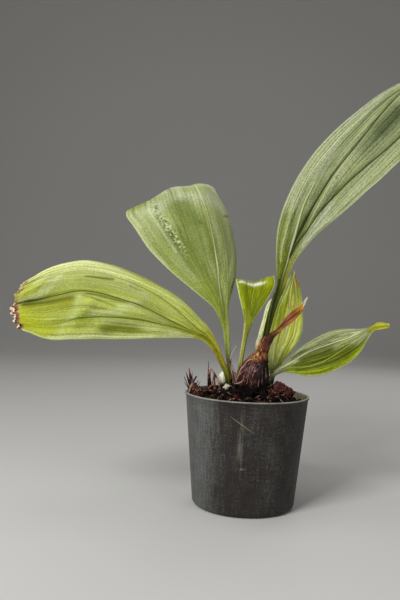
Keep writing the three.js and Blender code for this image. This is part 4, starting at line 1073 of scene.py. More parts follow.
def fibrous_sheath(bulbs):
    """Old leaf bases shredded to fibres: a dry, faintly silky brown with pale worn crests, black in
    the gaps, orange-brown on the fresher neck, with painted shade over the damp foot and on the side
    away from the light and a painted lilac highlight on the shoulder."""
    material, tree, shader, body = new_material(
        "shredded_leaf_base", roughness=0.65, index=1.45, specular=0.35)
    shade, fibres = fibre_shade(tree, body, contrast=0.52)
    places = add_node(tree, "SeparateXYZ", inputs={0: body})
    up = places.outputs["Z"]
    # Painted shade: darker at the damp foot and on the side away from the light, but less so on the neck
    neck = mask(tree, (up, 0.136, 0.147))
    dark = total(tree, mask(tree, (up, 0.124, 0.107, 0, 0.55)),
                 ((places.outputs["X"], 0.004, 0.013, 0, 0.8), 1))
    shade = total(tree, shade, (mask(tree, dark, (neck, 0, 1, 1, 0.35)), -1))
    colour = add_node(tree, "ValToRGB", inputs={0: shade}, stops=[
        (0.1, bulbs.shadow), (0.34, "#2b110b"), (0.55, bulbs.fibre), (0.78, "#84523e"), (1.0, bulbs.straw)])
    fresh = add_node(tree, "ValToRGB", inputs={0: shade}, stops=[
        (0.05, "#3a1a10"), (0.3, "#8a5126"), (0.6, "#b87c3e"), (0.95, "#cf9c72")])
    # A painted lilac highlight on the shoulder
    bloom = blot(tree, body, (0.001, -0.012, 0.134), (0.009, 0.02, 0.006), edge=0.8)
    colour = paint(tree, colour, (fresh, neck, 0.95),
                   ("#7d5c6e", bloom, (fibres, 0.4, 0.6, 0.1, 0.6)))
    dress(tree, shader, colour, (fibres, 0.3, 0.7, 0.8, 0.45), fibres, depth=0.001, strength=1.0)
    return material


def rusty_bract(bulbs):
    """Dry papery bract: dull and fibrous, from dark brown at its foot over rusty red to amber, with
    a bleached point, a dark fold down its middle and worn amber edges."""
    material, tree, shader, _ = new_material("dry_bract_paper", roughness=0.7, index=1.45, specular=0.3)
    flow, chart = (add_node(tree, "Attribute", {"attribute_name": key}).outputs["Vector"]
                   for key in ("flow", "chart"))
    places = add_node(tree, "SeparateXYZ", inputs={0: chart})
    along = places.outputs["Z"]
    # Fibres about 0.8 mm wide and 12 mm long
    fibres = grain(tree, flow, (1100, 1100, 80), detail=4, rough=0.6)
    colour = add_node(tree, "ValToRGB", inputs={0: along}, stops=[
        (0.0, "#6e3a1e"), (0.16, "#3c1a12"), (0.3, "#5a2a18"), (0.4, "#8a6030"), (0.5, "#7c4822"),
        (0.62, "#ab5f42"), (0.72, bulbs.bract), (0.8, "#c07a2c"), (0.87, "#cda850"),
        (0.915, "#ddd0b8"), (1.0, bulbs.bract_tip)])
    swung = total(tree, places.outputs["X"], ((along, 0.4, 0.8, 0.3, -0.35), 1))
    across, fold = (add_node(tree, "Math", {"operation": "ABSOLUTE"}, {0: value})
                    for value in (places.outputs["X"], swung))
    reach = mask(tree, (along, 0.3, 0.45), (along, 0.85, 0.75))
    colour = paint(tree, colour, ("#3c160c", (fold, 0.3, 0.05, 0, 0.75), reach),
                   ("#b08a48", (across, 0.7, 0.95, 0, 0.6), reach))
    colour = paint(tree, colour, (mask(tree, (fibres, 0.34, 0.66, 0.35, 1.6)), 1.0), way="MULTIPLY")
    dress(tree, shader, colour, (fibres, 0.3, 0.7, 0.8, 0.55), fibres, depth=0.0008, strength=0.9)
    return material


def plain_skin(name, base, spots, grain_size, roughness, strength=0.7, soiled=0.0):
    """Living or mineral skin of one main colour with mottled marks on it, brown with damp bark dust
    below the height soiled."""
    material, tree, shader, body = new_material(name, roughness, index=1.45)
    up = add_node(tree, "SeparateXYZ", inputs={0: body}).outputs["Z"]
    marks = grain(tree, body, (1 / grain_size,) * 3, detail=5, rough=0.6)
    colour = paint(tree, base, (spots, (marks, 0.45, 0.7, 0, strength)),
                   ("#1c110a", (up, soiled + 0.002, soiled - 0.001, 0, 0.92)))
    dress(tree, shader, colour, roughness, marks, depth=0.0008, strength=0.6)
    return material


# Leaf tissue

LARGE_LEAVES = ("leaf_a", "leaf_b", "leaf_d")

# What tells each leaf from the next: tints are (share of the length, colour, strength), halves the
# colour and strength of the left and right halves, film the colour and strength of the silvery bloom,
# grain the strength of ribs, hairlines, cells and thin veins, veins how many of those there are, and
# rim the strength of the pale rim.
LOOKS = {
    "leaf_a": {
        "tints": [(0, "#24220e", 0.95), (0.11, "#34320f", 0.92), (0.17, "#8a8a22", 0.9),
                  (0.3, "#bdb220", 0.9), (0.38, "#b0b02a", 0.7), (0.5, "#b0ba40", 0.3),
                  (0.65, "#b4c05c", 0), (0.84, "#b4c05c", 0), (0.92, "#a8ae1e", 0.6), (1, "#aaa02c", 0.8)],
        "film": ("#c4cc78", 0.55), "grain": (0.7, 1.15, 1.0, 0.1), "veins": 17,
    },
    "leaf_b": {
        "tints": [(0, "#5a5128", 0.9), (0.1, "#86903f", 0.8), (0.22, "#a5b062", 0.7),
                  (0.34, "#8b993c", 0.5), (0.48, "#8b9c50", 0), (1, "#8b9c50", 0)],
        # Painted light: leaf b's left half is painted darker and its right half lighter, against the way the
        # light falls on them
        "halves": (("#87954f", 0.45), ("#a4b268", 0.5)), "film": ("#bfc796", 0.6),
        "grain": (0.4, 0.9, 1.4, 0.14), "veins": 14, "rim": 0.9,
    },
    "leaf_c": {
        "tints": [(0, "#84854a", 0.9), (0.12, "#a6ab50", 0.8), (0.3, "#a0a83c", 0.6),
                  (0.42, "#93a012", 0.3), (0.56, "#8a9a08", 0), (1, "#8a9a08", 0)],
        "film": ("#a0a610", 0.15), "grain": (0.9, 1.1, 0.7, 0.16), "veins": 12,
    },
    "leaf_d": {
        "tints": [(0, "#333c08", 0.95), (0.15, "#3e4808", 0.95), (0.26, "#5a620a", 0.95),
                  (0.34, "#79801a", 0.9), (0.42, "#808a34", 0.65), (0.5, "#87925a", 0.25),
                  (0.62, "#93a06a", 0), (1, "#93a06a", 0.1)],
        "film": ("#b6bb9c", 0.65), "grain": (0.8, 1.7, 1.5, 0.28), "veins": 20, "rim": 0.4,
    },
    "leaf_e": {
        "tints": [(0, "#16150a", 1), (0.1, "#2a2c12", 0.95), (0.19, "#b9c078", 0.85),
                  (0.32, "#aab53a", 0.2), (0.5, "#aab53a", 0), (0.9, "#b6bd50", 0.2), (1, "#c3c07a", 0.6)],
        "film": ("#d2dc7c", 0.35), "grain": (1.0, 1.5, 0.8, 0.3), "veins": 8,
    },
    "leaf_f": {
        "tints": [(0, "#16150a", 1), (0.08, "#2a2c12", 0.95), (0.14, "#c0c68c", 0.9), (0.3, "#9fa860", 0.4),
                  (0.5, "#8f9c4c", 0), (0.78, "#a0a83a", 0.1), (0.84, "#dcd63a", 0.95), (1, "#dcd63a", 1)],
        "halves": (("#9fa35c", 0.7), ("#646c02", 0.88)), "film": ("#b4bb80", 0.2),
        "grain": (2.2, 3.2, 1.4, 0.34), "veins": 9, "rim": 0.4,
    },
}


def fold_lines(tree, colour, name, read, body, along, ribs, blade):
    """Draws the veins along the folds, with the shade beside them."""
    for number, crease in enumerate(CREASES[name]):
        away = read[f"crease_{number}"]
        apart = add_node(tree, "Math", {"operation": "ABSOLUTE"}, {0: away})
        if "shade" in crease:
            side, reach, strength = crease["shade"]
            # Painted shadow on one side of the fold only
            colour = paint(tree, colour, (
                "#7f8a3c", (away, 0, side * reach, 1, 0), (away, -side * 0.6, side * 0.4),
                (ribs, 0.3, 0.6, 0.5, 1), strength), way="MULTIPLY")
        # A dark line is the vein's colour with painted shade in its fold
        code, wide, strength = crease["line"]
        drawn = mask(tree, (apart, wide, wide * 0.25, 0, strength), blade)
        if "fades" in crease:
            drawn = mask(tree, drawn, (along, crease["fades"] - 0.06, crease["fades"], 1, 0))
        colour = paint(tree, colour, (code, drawn))
        if "crinkle" in crease:
            first, last = crease["span"]
            there = mask(tree, (apart, 5, 1),
                         blot(tree, along, ((first + last) / 2, 0, 0), ((last - first) / 2, 9, 9)))
            # Blisters of about 3 mm along the damaged vein
            blisters = grain(tree, body, (330, 330, 330), detail=2)
            colour = paint(tree, colour, ("#ccd6ac", there, (blisters, 0.51, 0.62, 0, 0.8)),
                           ("#3f4d1a", there, (blisters, 0.46, 0.37, 0, 0.8)))
    return colour


def leaf_tissue(name, leaves):
    """Living leaf: a waxy cuticle over soft tissue with long ribs, so a satin gloss that breaks
    along the ribs, a paler rim and underside, and a little light that passes through."""
    look = LOOKS[name]
    light, deep = (getattr(leaves, f"{shade}_{name[-1]}") for shade in ("light", "deep"))
    material, tree, shader, body = new_material(
        f"{name}_tissue", roughness=0.45, index=1.45, specular=0.13)
    feed(tree, shader, {"Subsurface Weight": 0.08, "Subsurface Scale": 0.0012,
                        "Subsurface Radius": (0.7, 1.0, 0.25)})
    chart = add_node(tree, "UVMap", {"uv_map": "leaf"})
    places = add_node(tree, "SeparateXYZ", inputs={0: chart})
    across, along = places.outputs["X"], places.outputs["Y"]
    keys = ("ridge", "margin", "underside", *(f"crease_{number}" for number in range(len(CREASES[name]))))
    read = {key: add_node(tree, "Attribute", {"attribute_name": key}).outputs["Fac"] for key in keys}
    # Bands some 10 mm apart, ribs of 3 mm and hairlines of 1.3 mm drawn out along the leaf
    bands = grain(tree, chart, (8, 1.4, 1), detail=3)
    ribs = grain(tree, chart, (25, 1.8, 1), detail=3)
    hairs = grain(tree, chart, (58, 5, 1), detail=2)
    # Cells of about 1.3 mm, which is as fine as the picture shows
    cells = grain(tree, body, (760, 760, 760), detail=2)
    # Thin parallel veins that swerve a little, 2 pi for each of them across the leaf
    swerve = total(tree, 0.0, (bands, 7), (across, 2 * math.pi * look["veins"]))
    wave = add_node(tree, "Math", {"operation": "SINE"}, {0: swerve})
    veins = mask(tree, (wave, 0.45, 1.0, 0, -1))

    # Painted shade: the blade is lighter on the crowns of the arches and deeper towards the folds, in bands
    colour = paint(tree, deep, (light, (total(tree, bands, (read["ridge"], 0.2)), 0.38, 0.78)))
    for (code, strength), (start, end) in zip(look.get("halves", ()), ((0.53, 0.45), (0.47, 0.55))):
        colour = paint(tree, colour, (code, (across, start, end, 0, strength)))
    tint = add_node(tree, "ValToRGB", inputs={0: along},
                    stops=[(at, (*linear(code)[:3], strength)) for at, code, strength in look["tints"]])
    # A silvery film in patches of 10 mm, broken up by specks of 2 mm
    patches = grain(tree, chart, (8, 5, 1))
    specks = grain(tree, body, (480, 480, 480), detail=3)
    blade = mask(tree, (along, 0.25, 0.45))
    code, strength = look["film"]
    marks = add_node(tree, "Attribute", {"attribute_name": "marks"})
    colour = paint(tree, colour, (tint.outputs["Color"], tint.outputs["Alpha"]),
                   (code, (patches, 0.42, 0.68), (specks, 0.35, 0.65, 0.45, 1.0), strength, blade),
                   (marks.outputs["Color"], marks.outputs["Alpha"], (ribs, 0.3, 0.65, 0.8, 1.0)))

    # Ribs, hairlines, cells and veins summed round a middle of one
    middles = (0.5, 0.5, 0.5, -0.2)
    fine = total(tree, 1 - sum(middle * share for middle, share in zip(middles, look["grain"])),
                 *zip((ribs, hairs, cells, veins), look["grain"]))
    worked = add_node(tree, "Math", {"operation": "MAXIMUM"}, {0: fine, 1: 0.35})
    colour = paint(tree, colour, (worked, 1.0), way="MULTIPLY")
    colour = fold_lines(tree, colour, name, read, body, along, ribs, blade)
    colour = paint(tree, colour, (leaves.margin, (read["margin"], 1.3, 0.4, 0, look.get("rim", 0.8)), blade))
    if "tear" in LEAVES[name]:
        # Dead tissue where the tip is torn, brown first and bleached at its edge
        ragged = total(tree, along, (grain(tree, chart, (30, 12, 1)), 0.03))
        torn_side = mask(tree, (across, 0.57, 0.5, 0.12, 1))
        colour = paint(tree, colour, (leaves.dry, (ragged, 0.972, 0.985), torn_side),
                       ("#54201a", (ragged, 0.99, 0.998), torn_side),
                       (leaves.bleached, (ragged, 1.003, 1.008), torn_side))
    if LEAVES[name]["upper"] > 0:
        # The back of the leaf is paler
        colour = paint(tree, colour, (paint(tree, colour, (light, 0.5)), read["underside"], 0.8))
    dress(tree, shader, colour, (ribs, 0.3, 0.7, 0.4, 0.56), fine, depth=0.0009, strength=0.6)
    return material


# Pot

POT_SIDES = 144
WALL_STEPS = 12
CORNER_STEPS = 6
HOLE_SIDES = 28
# Radius of the plain middle of the floor, in metres
FLOOR_MIDDLE = 0.03


def wall_radius(pot, height):
    """The pot's outer radius in metres at a height on its straight wall."""
    rise = (height - pot.corner) / (pot.height - pot.corner)
    return pot.base_radius + (pot.rim_radius - pot.base_radius) * rise


def round_corner(radius, bottom, reach):
    turns = [math.pi / 2 * i / CORNER_STEPS for i in range(CORNER_STEPS + 1)]
    return [(radius - reach + reach * math.sin(a), bottom + reach - reach * math.cos(a)) for a in turns]


def pot_mesh(pot):
    """Spins the pot's profile round its axis and drills the drain holes."""
    below = pot.height - pot.bead_height
    outside = wall_radius(pot, below)
    levels = [pot.corner + (below - pot.corner) * i / WALL_STEPS for i in range(1, WALL_STEPS)]
    lip, mouth = pot.rim_radius + pot.bead, pot.rim_radius - pot.wall
    inner_corner = round_corner(pot.base_radius - pot.wall, pot.floor, pot.corner - pot.wall)
    profile = [(0, 0), (FLOOR_MIDDLE, 0), *round_corner(pot.base_radius, 0, pot.corner),
               *[(wall_radius(pot, level), level) for level in levels],
               (outside - 0.05 * MM, below - 0.5 * MM), (outside + pot.bead * 0.8, below),
               (lip, below + 0.4 * MM), (lip, pot.height - 0.5 * MM), (lip - 0.3 * MM, pot.height),
               (mouth + 0.2 * MM, pot.height), (mouth, pot.height - 0.3 * MM),
               *reversed(inner_corner), (FLOOR_MIDDLE, pot.floor), (0, pot.floor)]
    bm = bmesh.new()
    line = [bm.verts.new((radius, 0, height)) for radius, height in profile]
    edges = [bm.edges.new(pair) for pair in zip(line, line[1:])]
    bmesh.ops.spin(bm, geom=line + edges, cent=(0, 0, 0), axis=(0, 0, 1), angle=2 * math.pi,
                   steps=POT_SIDES, use_merge=True)
    bmesh.ops.remove_doubles(bm, verts=bm.verts, dist=1e-6)
    bmesh.ops.recalc_face_normals(bm, faces=bm.faces)
    drills = bmesh.new()
    for i in range(pot.drain_holes):
        turn = 2 * math.pi * i / pot.drain_holes
        place = (pot.drain_circle * math.cos(turn), pot.drain_circle * math.sin(turn), pot.floor / 2)
        bmesh.ops.create_cone(drills, cap_ends=True, segments=HOLE_SIDES, radius1=pot.drain_radius,
                              radius2=pot.drain_radius, depth=3 * pot.floor,
                              matrix=Matrix.Translation(place))
    return cut_away("nursery_pot", to_mesh("nursery_pot", bm), to_mesh("drills", drills))


def cut_away(name, mesh, cutter_mesh):
    """The mesh less the cutter, as a new mesh."""
    blank = add_object(f"{name}_blank", mesh)
    cutter = add_object(f"{name}_cutter", cutter_mesh)
    modifier = blank.modifiers.new("drill", "BOOLEAN")
    modifier.operation = "DIFFERENCE"
    modifier.solver = "EXACT"
    modifier.object = cutter
    shaped = blank.evaluated_get(bpy.context.evaluated_depsgraph_get())
    result = bpy.data.meshes.new_from_object(shaped)
    bpy.data.objects.remove(blank)
    bpy.data.objects.remove(cutter)
    result.materials.clear()
    result.name = name
    return result


# Bark mix, with lengths in millimetres

GAP = 0.35
CROWN_AT = (-6, -8)
FRONT_LIFT = 0.05
# The mix has sunk beside the red lump, where the pot's inside shows
SUNK_AT = (50, 6)
SUNK_REACH = 10
SUNK_DEPTH = 5
# The ball that becomes the mound: its grid, the shares of it that lie on the floor and below the top of
# the wall, and over which the crumbs on it settle
MOUND_GRID = (120, 72)
FLOOR_SHARE = 0.08
WALL_SHARE = 0.3
SETTLING = 0.06
MOUND_EDGE = 60
MOUND_ROUGHNESS = 1.1
MOUND_TONE = 0.16
# How closely the crumbs lie, and the roughness, steps and number of octaves of their noise
CRUMB_SCALE = 0.35
CRUMB_NOISE = (0.7, 2.1, 5)
# How far from the axis the chips lie, the limits of their sides, tilts in radians and tones, and the
# width that is worn off their edges
BIG_CHIPS = 50
BIG_CHIP_REACH = 49
BIG_CHIP_SIZE = ((7, 16), (3.5, 7.5), (2, 4.5))
BIG_CHIP_TILT = (-0.6, 0.6)
BIG_CHIP_TONE = (0.05, 0.6)
BIG_CHIP_WEAR = 0.5
SMALL_CHIP_REACH = 55
SMALL_CHIP_SIZE = ((2.5, 8), (1.2, 3.2), (0.8, 2.2))
SMALL_CHIP_TILT = (-0.9, 0.9)
SMALL_CHIP_TONE = (0, 0.78)
SMALL_CHIP_WEAR = 0.2
# How far chips lie above the mound, at most: a share of its height for a big one, millimetres for a
# small one; and the share of a side by which a corner may be out of place
BIG_CHIP_LIFT = 0.2
SMALL_CHIP_LIFT = 1.6
CHIP_ROUGHNESS = 0.22
# Loose fibres: how far from the axis they lie, the limits of their length, width, arch and tone, the
# number of steps they wander in, the turn at each in radians, and how far they lie off the mound
FIBRE_REACH = 52
FIBRE_LENGTH = (7, 22)
FIBRE_WIDTH = (0.5, 1.3)
FIBRE_ARCH = (0.5, 4)
FIBRE_TONE = (0.2, 1.15)
FIBRE_STEPS = 5
FIBRE_SWERVE = (-0.7, 0.7)
FIBRE_LIFT = 0.4
# Slivers beside each split husk: their number, the limits of the lean of their tips, of the bend of
# their middles and of their tones, and how much of that lean their feet have
SLIVERS = 4
SLIVER_LEAN = ((-2, 4.5), (-3, 3), (-10, -1))
SLIVER_BEND = (-2.2, 2.2)
SLIVER_TONE = (0.55, 1.2)
SLIVER_FOOT_LEAN = 0.6
MIX_SEED = 41
TONE_SEED = 7
# The corners of a chip in the order their random shares are drawn
CORNERS = [(1, 1, 1), (1, 1, -1), (1, -1, 1), (1, -1, -1),
           (-1, 1, -1), (-1, 1, 1), (-1, -1, -1), (-1, -1, 1)]
# Husks, twigs and needles that stand in the mix: tone, depth as a share of the width, and stations of
# x, y, z and half width
STRANDS = [
    (0.86, 0.35,
     [[-53, -3, 104, 2.2], [-54.3, -3, 112, 2.1], [-55.4, -3, 119, 1.7], [-56.6, -3, 125, 1.1],
      [-58, -3, 131, 0.2]]),
    (0.7, 0.35, [[-52, -4, 105, 2], [-55, -4, 112, 1.5], [-57.6, -4, 118, 1.1], [-60.6, -4, 127, 0.2]]),
    (1.1, 0.8, [[-57, -7, 107, 0.7], [-55.6, -7, 112, 1], [-53.4, -6, 117, 0.9], [-50.2, -6, 123.5, 0.8]]),
    (0.78, 0.5, [[-49, -5, 105, 2.4], [-50.5, -6, 111, 1.8], [-52.6, -6, 116, 1], [-53.4, -6, 120, 0.2]]),
    (0.72, 0.6, [[-47, -3, 104, 2.8], [-49, -3, 110, 2.2], [-50, -3, 114, 1.2], [-51.5, -2, 117, 0.2]]),
    (0.7, 0.5,
     [[-38.4, -15, 105, 1], [-38.6, -15, 117, 0.9], [-39, -15, 126, 0.7], [-39.2, -15, 139.5, 0.15]]),
    (0.4, 0.6, [[-35, -13, 106, 2], [-36.4, -14, 116, 1.5], [-37.4, -14, 124, 1], [-37.4, -15, 131, 0.4]]),
    (1.15, 0.9, [[-38, -15, 130.6, 0.6], [-37, -15.4, 131.9, 1.3], [-36, -15.4, 132.2, 0.6]]),
    (1.08, 0.6,
     [[-36, -15, 132.4, 0.5], [-33.2, -16, 127.6, 1.1], [-30.6, -17, 122.8, 1.1], [-26, -19, 112, 0.9]]),
    (0.7, 0.6,
     [[-33.6, -16, 126, 0.4], [-33, -18, 121, 0.8], [-32.6, -19, 116, 0.9], [-31, -20, 111, 0.9]]),
    (0.9, 0.6,
     [[-39.6, -18, 111.6, 0.5], [-37.4, -18.4, 114.8, 0.9], [-34.6, -18.4, 117.2, 0.9],
      [-31.5, -18, 118.6, 0.3]]),
    (1.05, 0.6,
     [[-44, -14, 108.5, 0.3], [-40, -16, 111.4, 0.7], [-35.6, -19, 111.8, 0.8], [-31.6, -26, 110, 0.7],
      [-28, -33, 106.6, 0.4]]),
    (0.85, 0.6,
     [[-28.4, -28, 106.5, 0.6], [-28, -26, 110.4, 1], [-26, -24, 113.4, 1], [-23, -22, 114.6, 0.5]]),
    (0.9, 0.5,
     [[-24, -30, 105, 0.5], [-22.6, -28, 110, 1], [-22.4, -26, 113.6, 0.9], [-24.5, -24, 115.4, 0.4]]),
    (0.8, 0.6,
     [[-46, -22, 104, 0.4], [-43, -26, 107, 0.8], [-38, -31, 107.4, 0.8], [-33, -38, 105.6, 0.4]]),
    (0.7, 0.6, [[12, -15, 114, 0.5], [15, -14, 118, 0.45], [18, -14, 122.6, 0.4], [20.6, -12, 126.6, 0.3]]),
    (0.9, 0.6, [[-9, -44, 105, 0.5], [-5, -45, 108.6, 1], [0, -45, 109, 1], [4, -46, 105.5, 0.5]]),
    (1.0, 0.6, [[12, -46, 105, 0.5], [14, -45, 109.4, 0.9], [17, -44, 112, 0.9], [18, -43, 112.6, 0.4]]),
]
# The strands with slivers beside them
SPLIT_STRANDS = (0, 1, 2, 3, 4, 6)
# Red-brown chips that lie against the wall at the front: place and turn about the upright
FRONT_CHIPS = [((-13.5, -51, 108), 0.1), ((-18.5, -50, 107.6), -0.3), ((-4, -52, 107.4), 0.6),
               ((7, -51, 107.6), 1.2), ((17, -48, 107.4), -0.5), ((10, -53, 106.8), 0.2),
               ((24.5, -13, 117.4), 0.4), ((22, -17, 114), -0.6), ((27.5, -18, 113.4), 0.2)]
FRONT_CHIP_SIZE = (6.5, 3, 2.8)
FRONT_CHIP_TILT = (0.2, 0.1)
FRONT_CHIP_TONE = 0.78
FRONT_CHIP_WEAR = 0.3


def seeded(state):
    """Draws numbers from nought to one, the same on every run."""
    while True:
        state = (state * 1664525 + 1013904223) % 4294967296
        yield state / 4294967296


def between(limits, draws):
    return limits[0] + (limits[1] - limits[0]) * next(draws)


def around(reach, draws):
    """A place drawn from a disc round the pot's axis."""
    away = reach * math.sqrt(next(draws))
    turn = 2 * math.pi * next(draws)
    return away * math.cos(turn), away * math.sin(turn)


def mix_height(mix, x, y):
    """The height of the mound at a place, in millimetres."""
    away = ((x - CROWN_AT[0]) ** 2 + (y - CROWN_AT[1]) ** 2) / (2 * (mix.spread / MM) ** 2)
    lumps = (1.3 * math.sin(0.21 * x + 1.3) * math.cos(0.19 * y - 0.4)
             + 0.9 * math.sin(0.43 * x - 0.37 * y + 2) + 0.5 * math.sin(0.85 * x + 0.62 * y))
    sunk = SUNK_DEPTH * math.exp(-((x - SUNK_AT[0]) ** 2 + (y - SUNK_AT[1]) ** 2) / (2 * SUNK_REACH ** 2))
    return mix.edge_height / MM + mix.crown / MM * math.exp(-away) - FRONT_LIFT * y + lumps - sunk


def random_turns(tilt, draws):
    """A tilt about X and Y within limits, and any turn about Z, in radians."""
    return between(tilt, draws), between(tilt, draws), 2 * math.pi * next(draws)


def corner_shares(draws):
    """How far each corner of a chip is moved, as shares of its sides."""
    limits = (1 - CHIP_ROUGHNESS, 1 + CHIP_ROUGHNESS)
    return {corner: [between(limits, draws) for _ in range(3)] for corner in CORNERS}


def add_chip(bm, size, shares, turns, place, tone, worn):
    """A rough block with its corners moved about and its edges worn."""
    part = new_part()
    shade = part.verts.layers.float["tone"]
    block = bmesh.ops.create_cube(part, size=1)["verts"]
    spin = (Matrix.Rotation(turns[2], 3, "Z") @ Matrix.Rotation(turns[1], 3, "Y")
            @ Matrix.Rotation(turns[0], 3, "X"))
    for vert in block:
        corner = tuple(1 if value > 0 else -1 for value in vert.co)
        spot = [side / 2 * length * share for side, length, share in zip(corner, size, shares[corner])]
        vert.co = (spin @ Vector(spot) + Vector(place)) * MM
        vert[shade] = tone
    bmesh.ops.bevel(part, geom=part.edges[:], offset=worn * MM, affect="EDGES", segments=1, profile=0.5,
                    material=-1)
    join_part(bm, part)


def mound(bm, mix, pot):
    """The body of the mix: a ball drawn out to the pot's inside below and to the mound above."""
    shade = bm.verts.layers.float["tone"]
    sides, rows = MOUND_GRID
    inner = pot.wall + GAP * MM
    low = pot.corner + MM
    for vert in bmesh.ops.create_uvsphere(bm, u_segments=sides, v_segments=rows, radius=1)["verts"]:
        turn = math.atan2(vert.co.y, vert.co.x)
        share = math.acos(max(-1, min(1, -vert.co.z))) / math.pi
        c, s = math.cos(turn), math.sin(turn)
        top = min(mix_height(mix, c * MOUND_EDGE, s * MOUND_EDGE) * MM, pot.height)
        if share < FLOOR_SHARE:
            radius = (pot.base_radius - pot.corner) * share / FLOOR_SHARE
            height = pot.floor + GAP * MM
        elif share < WALL_SHARE:
            height = low + (top - low) * (share - FLOOR_SHARE) / (WALL_SHARE - FLOOR_SHARE)
            radius = wall_radius(pot, height) - inner
        else:
            radius = (wall_radius(pot, top) - inner) * (1 - share) / (1 - WALL_SHARE)
            x, y = radius * c / MM, radius * s / MM
            rough = noise.fractal(Vector((x, y, 0)) * CRUMB_SCALE, *CRUMB_NOISE) * MOUND_ROUGHNESS
            settle = min(1, (share - WALL_SHARE) / SETTLING)
            height = (mix_height(mix, x, y) + rough * settle) * MM
        vert.co = (radius * c, radius * s, height)
        vert[shade] = MOUND_TONE


def add_fibre(bm, mix, start, turn, length, thickness, arch, draws, tone):
    """A loose fibre that wanders over the mound, with its ends in it."""
    stations = []
    x, y = start
    for i in range(FIBRE_STEPS + 1):
        share = i / FIBRE_STEPS
        rise = arch * math.sin(math.pi * share)
        taper = 1 - 0.7 * abs(2 * share - 1)
        stations.append([x, y, mix_height(mix, x, y) + rise + FIBRE_LIFT, thickness / 2 * taper])
        turn += between(FIBRE_SWERVE, draws)
        x += length / FIBRE_STEPS * math.cos(turn)
        y += length / FIBRE_STEPS * math.sin(turn)
    wrap_spine(bm, Spine(stations), sides=4, rows=9, tone=tone)


def add_slivers(bm, stations, draws, tones):
    """Slivers that split off beside a standing husk."""
    foot, tip = stations[0][:3], stations[-1][:3]
    for _ in range(SLIVERS):
        lean = [between(limits, draws) for limits in SLIVER_LEAN]
        bend = between(SLIVER_BEND, draws)
        end = [b + c for b, c in zip(tip, lean)]
        base = [foot[0] + lean[0] * SLIVER_FOOT_LEAN, foot[1] + lean[1] * SLIVER_FOOT_LEAN, foot[2]]
        knee = [(a + b) / 2 for a, b in zip(base, end)]
        knee[0] += bend
        wrap_spine(bm, Spine([[*base, 0.6], [*knee, 0.5], [*end, 0.15]], depth=0.6), sides=4,
                   rows=8, tone=between(SLIVER_TONE, tones))


def inside_pot(bm, pot):
    """Draws back whatever would pass through the wall below the rim."""
    for vert in bm.verts:
        reach = math.hypot(vert.co.x, vert.co.y)
        limit = wall_radius(pot, min(max(vert.co.z, pot.corner), pot.height)) - pot.wall - GAP * MM
        if vert.co.z < pot.height + GAP * MM and reach > limit:
            vert.co.x *= limit / reach
            vert.co.y *= limit / reach


def mix_piece(mix, pot, material):
    bm = new_part()
    mound(bm, mix, pot)
    draws = seeded(MIX_SEED)
    tones = seeded(TONE_SEED)
    for _ in range(BIG_CHIPS):
        x, y = around(BIG_CHIP_REACH, draws)
        height, length, width = (between(BIG_CHIP_SIZE[side], draws) for side in (2, 0, 1))
        shares = corner_shares(draws)
        turns = random_turns(BIG_CHIP_TILT, draws)
        place = (x, y, mix_height(mix, x, y) + BIG_CHIP_LIFT * height)
        add_chip(bm, (length, width, height), shares, turns, place, between(BIG_CHIP_TONE, tones),
                 BIG_CHIP_WEAR)
    draws = seeded(MIX_SEED + 1)
    for _ in range(mix.chips):
        x, y = around(SMALL_CHIP_REACH, draws)
        size = [between(limits, draws) for limits in SMALL_CHIP_SIZE]
        turns = random_turns(SMALL_CHIP_TILT, draws)
        place = (x, y, mix_height(mix, x, y) + SMALL_CHIP_LIFT * next(draws))
        add_chip(bm, size, corner_shares(draws), turns, place, between(SMALL_CHIP_TONE, tones),
                 SMALL_CHIP_WEAR)
    for place, turn in FRONT_CHIPS:
        add_chip(bm, FRONT_CHIP_SIZE, corner_shares(draws), (*FRONT_CHIP_TILT, turn), place,
                 FRONT_CHIP_TONE, FRONT_CHIP_WEAR)
    for tone, depth, stations in STRANDS:
        wrap_spine(bm, Spine(stations, depth), sides=10, rows=16, tone=tone)
    for _ in range(mix.fibres):
        start = around(FIBRE_REACH, draws)
        add_fibre(bm, mix, start, 2 * math.pi * next(draws), between(FIBRE_LENGTH, draws),
                  between(FIBRE_WIDTH, draws), between(FIBRE_ARCH, draws), draws,
                  between(FIBRE_TONE, tones))
    for number in SPLIT_STRANDS:
        add_slivers(bm, STRANDS[number][2], draws, tones)
    inside_pot(bm, pot)
    return finish_piece("bark_mix", bm, material, ["potting_mix"], smooth_faces=False)


# Rhizome and bulbs

# Torn fibres of the main bulb's sheath: their number, the seed they are drawn from, how far the
# loosest stands off, the limits of their feet and runs and the highest top as shares of the bulb's
# length, the limits of their slants in radians, half widths and tones, and the share of them that is
# loose at the top
TORN_FIBRES = 170
TORN_SEED = 19
TORN_LIFT = 1.8
TORN_FOOT = (0.04, 0.5)
TORN_RUN = (0.1, 0.24)
TORN_TOP = 0.98
TORN_SLANT = (-0.8, 0.35)
TORN_HALF_WIDTH = (0.2, 0.5)
TORN_TONE = (0.35, 0.95)
LOOSE_AT_TOP = 0.6
BACK_BULBS = [
    ([[-17, -4, 98, 5], [-17, -4, 103, 8.6], [-17, -4, 110, 8.4], [-17, -4, 116, 4.8]], 1.25),
    ([[-10, 6, 99, 5], [-10, 6, 106, 8], [-10, 6, 114, 8.4], [-9.5, 7, 121, 6], [-9, 8, 125, 4]], 1),
    ([[23, 13, 98, 6], [23, 13, 104, 9.4], [23, 13, 111, 9], [23.5, 13, 117, 5.6]], 1.1),
]
RHIZOME = [[-20, -6, 99, 4.5], [-9, 0, 99, 5.5], [4, -2, 99, 6], [14, 6, 99, 5.5], [24, 14, 99, 4.5]]
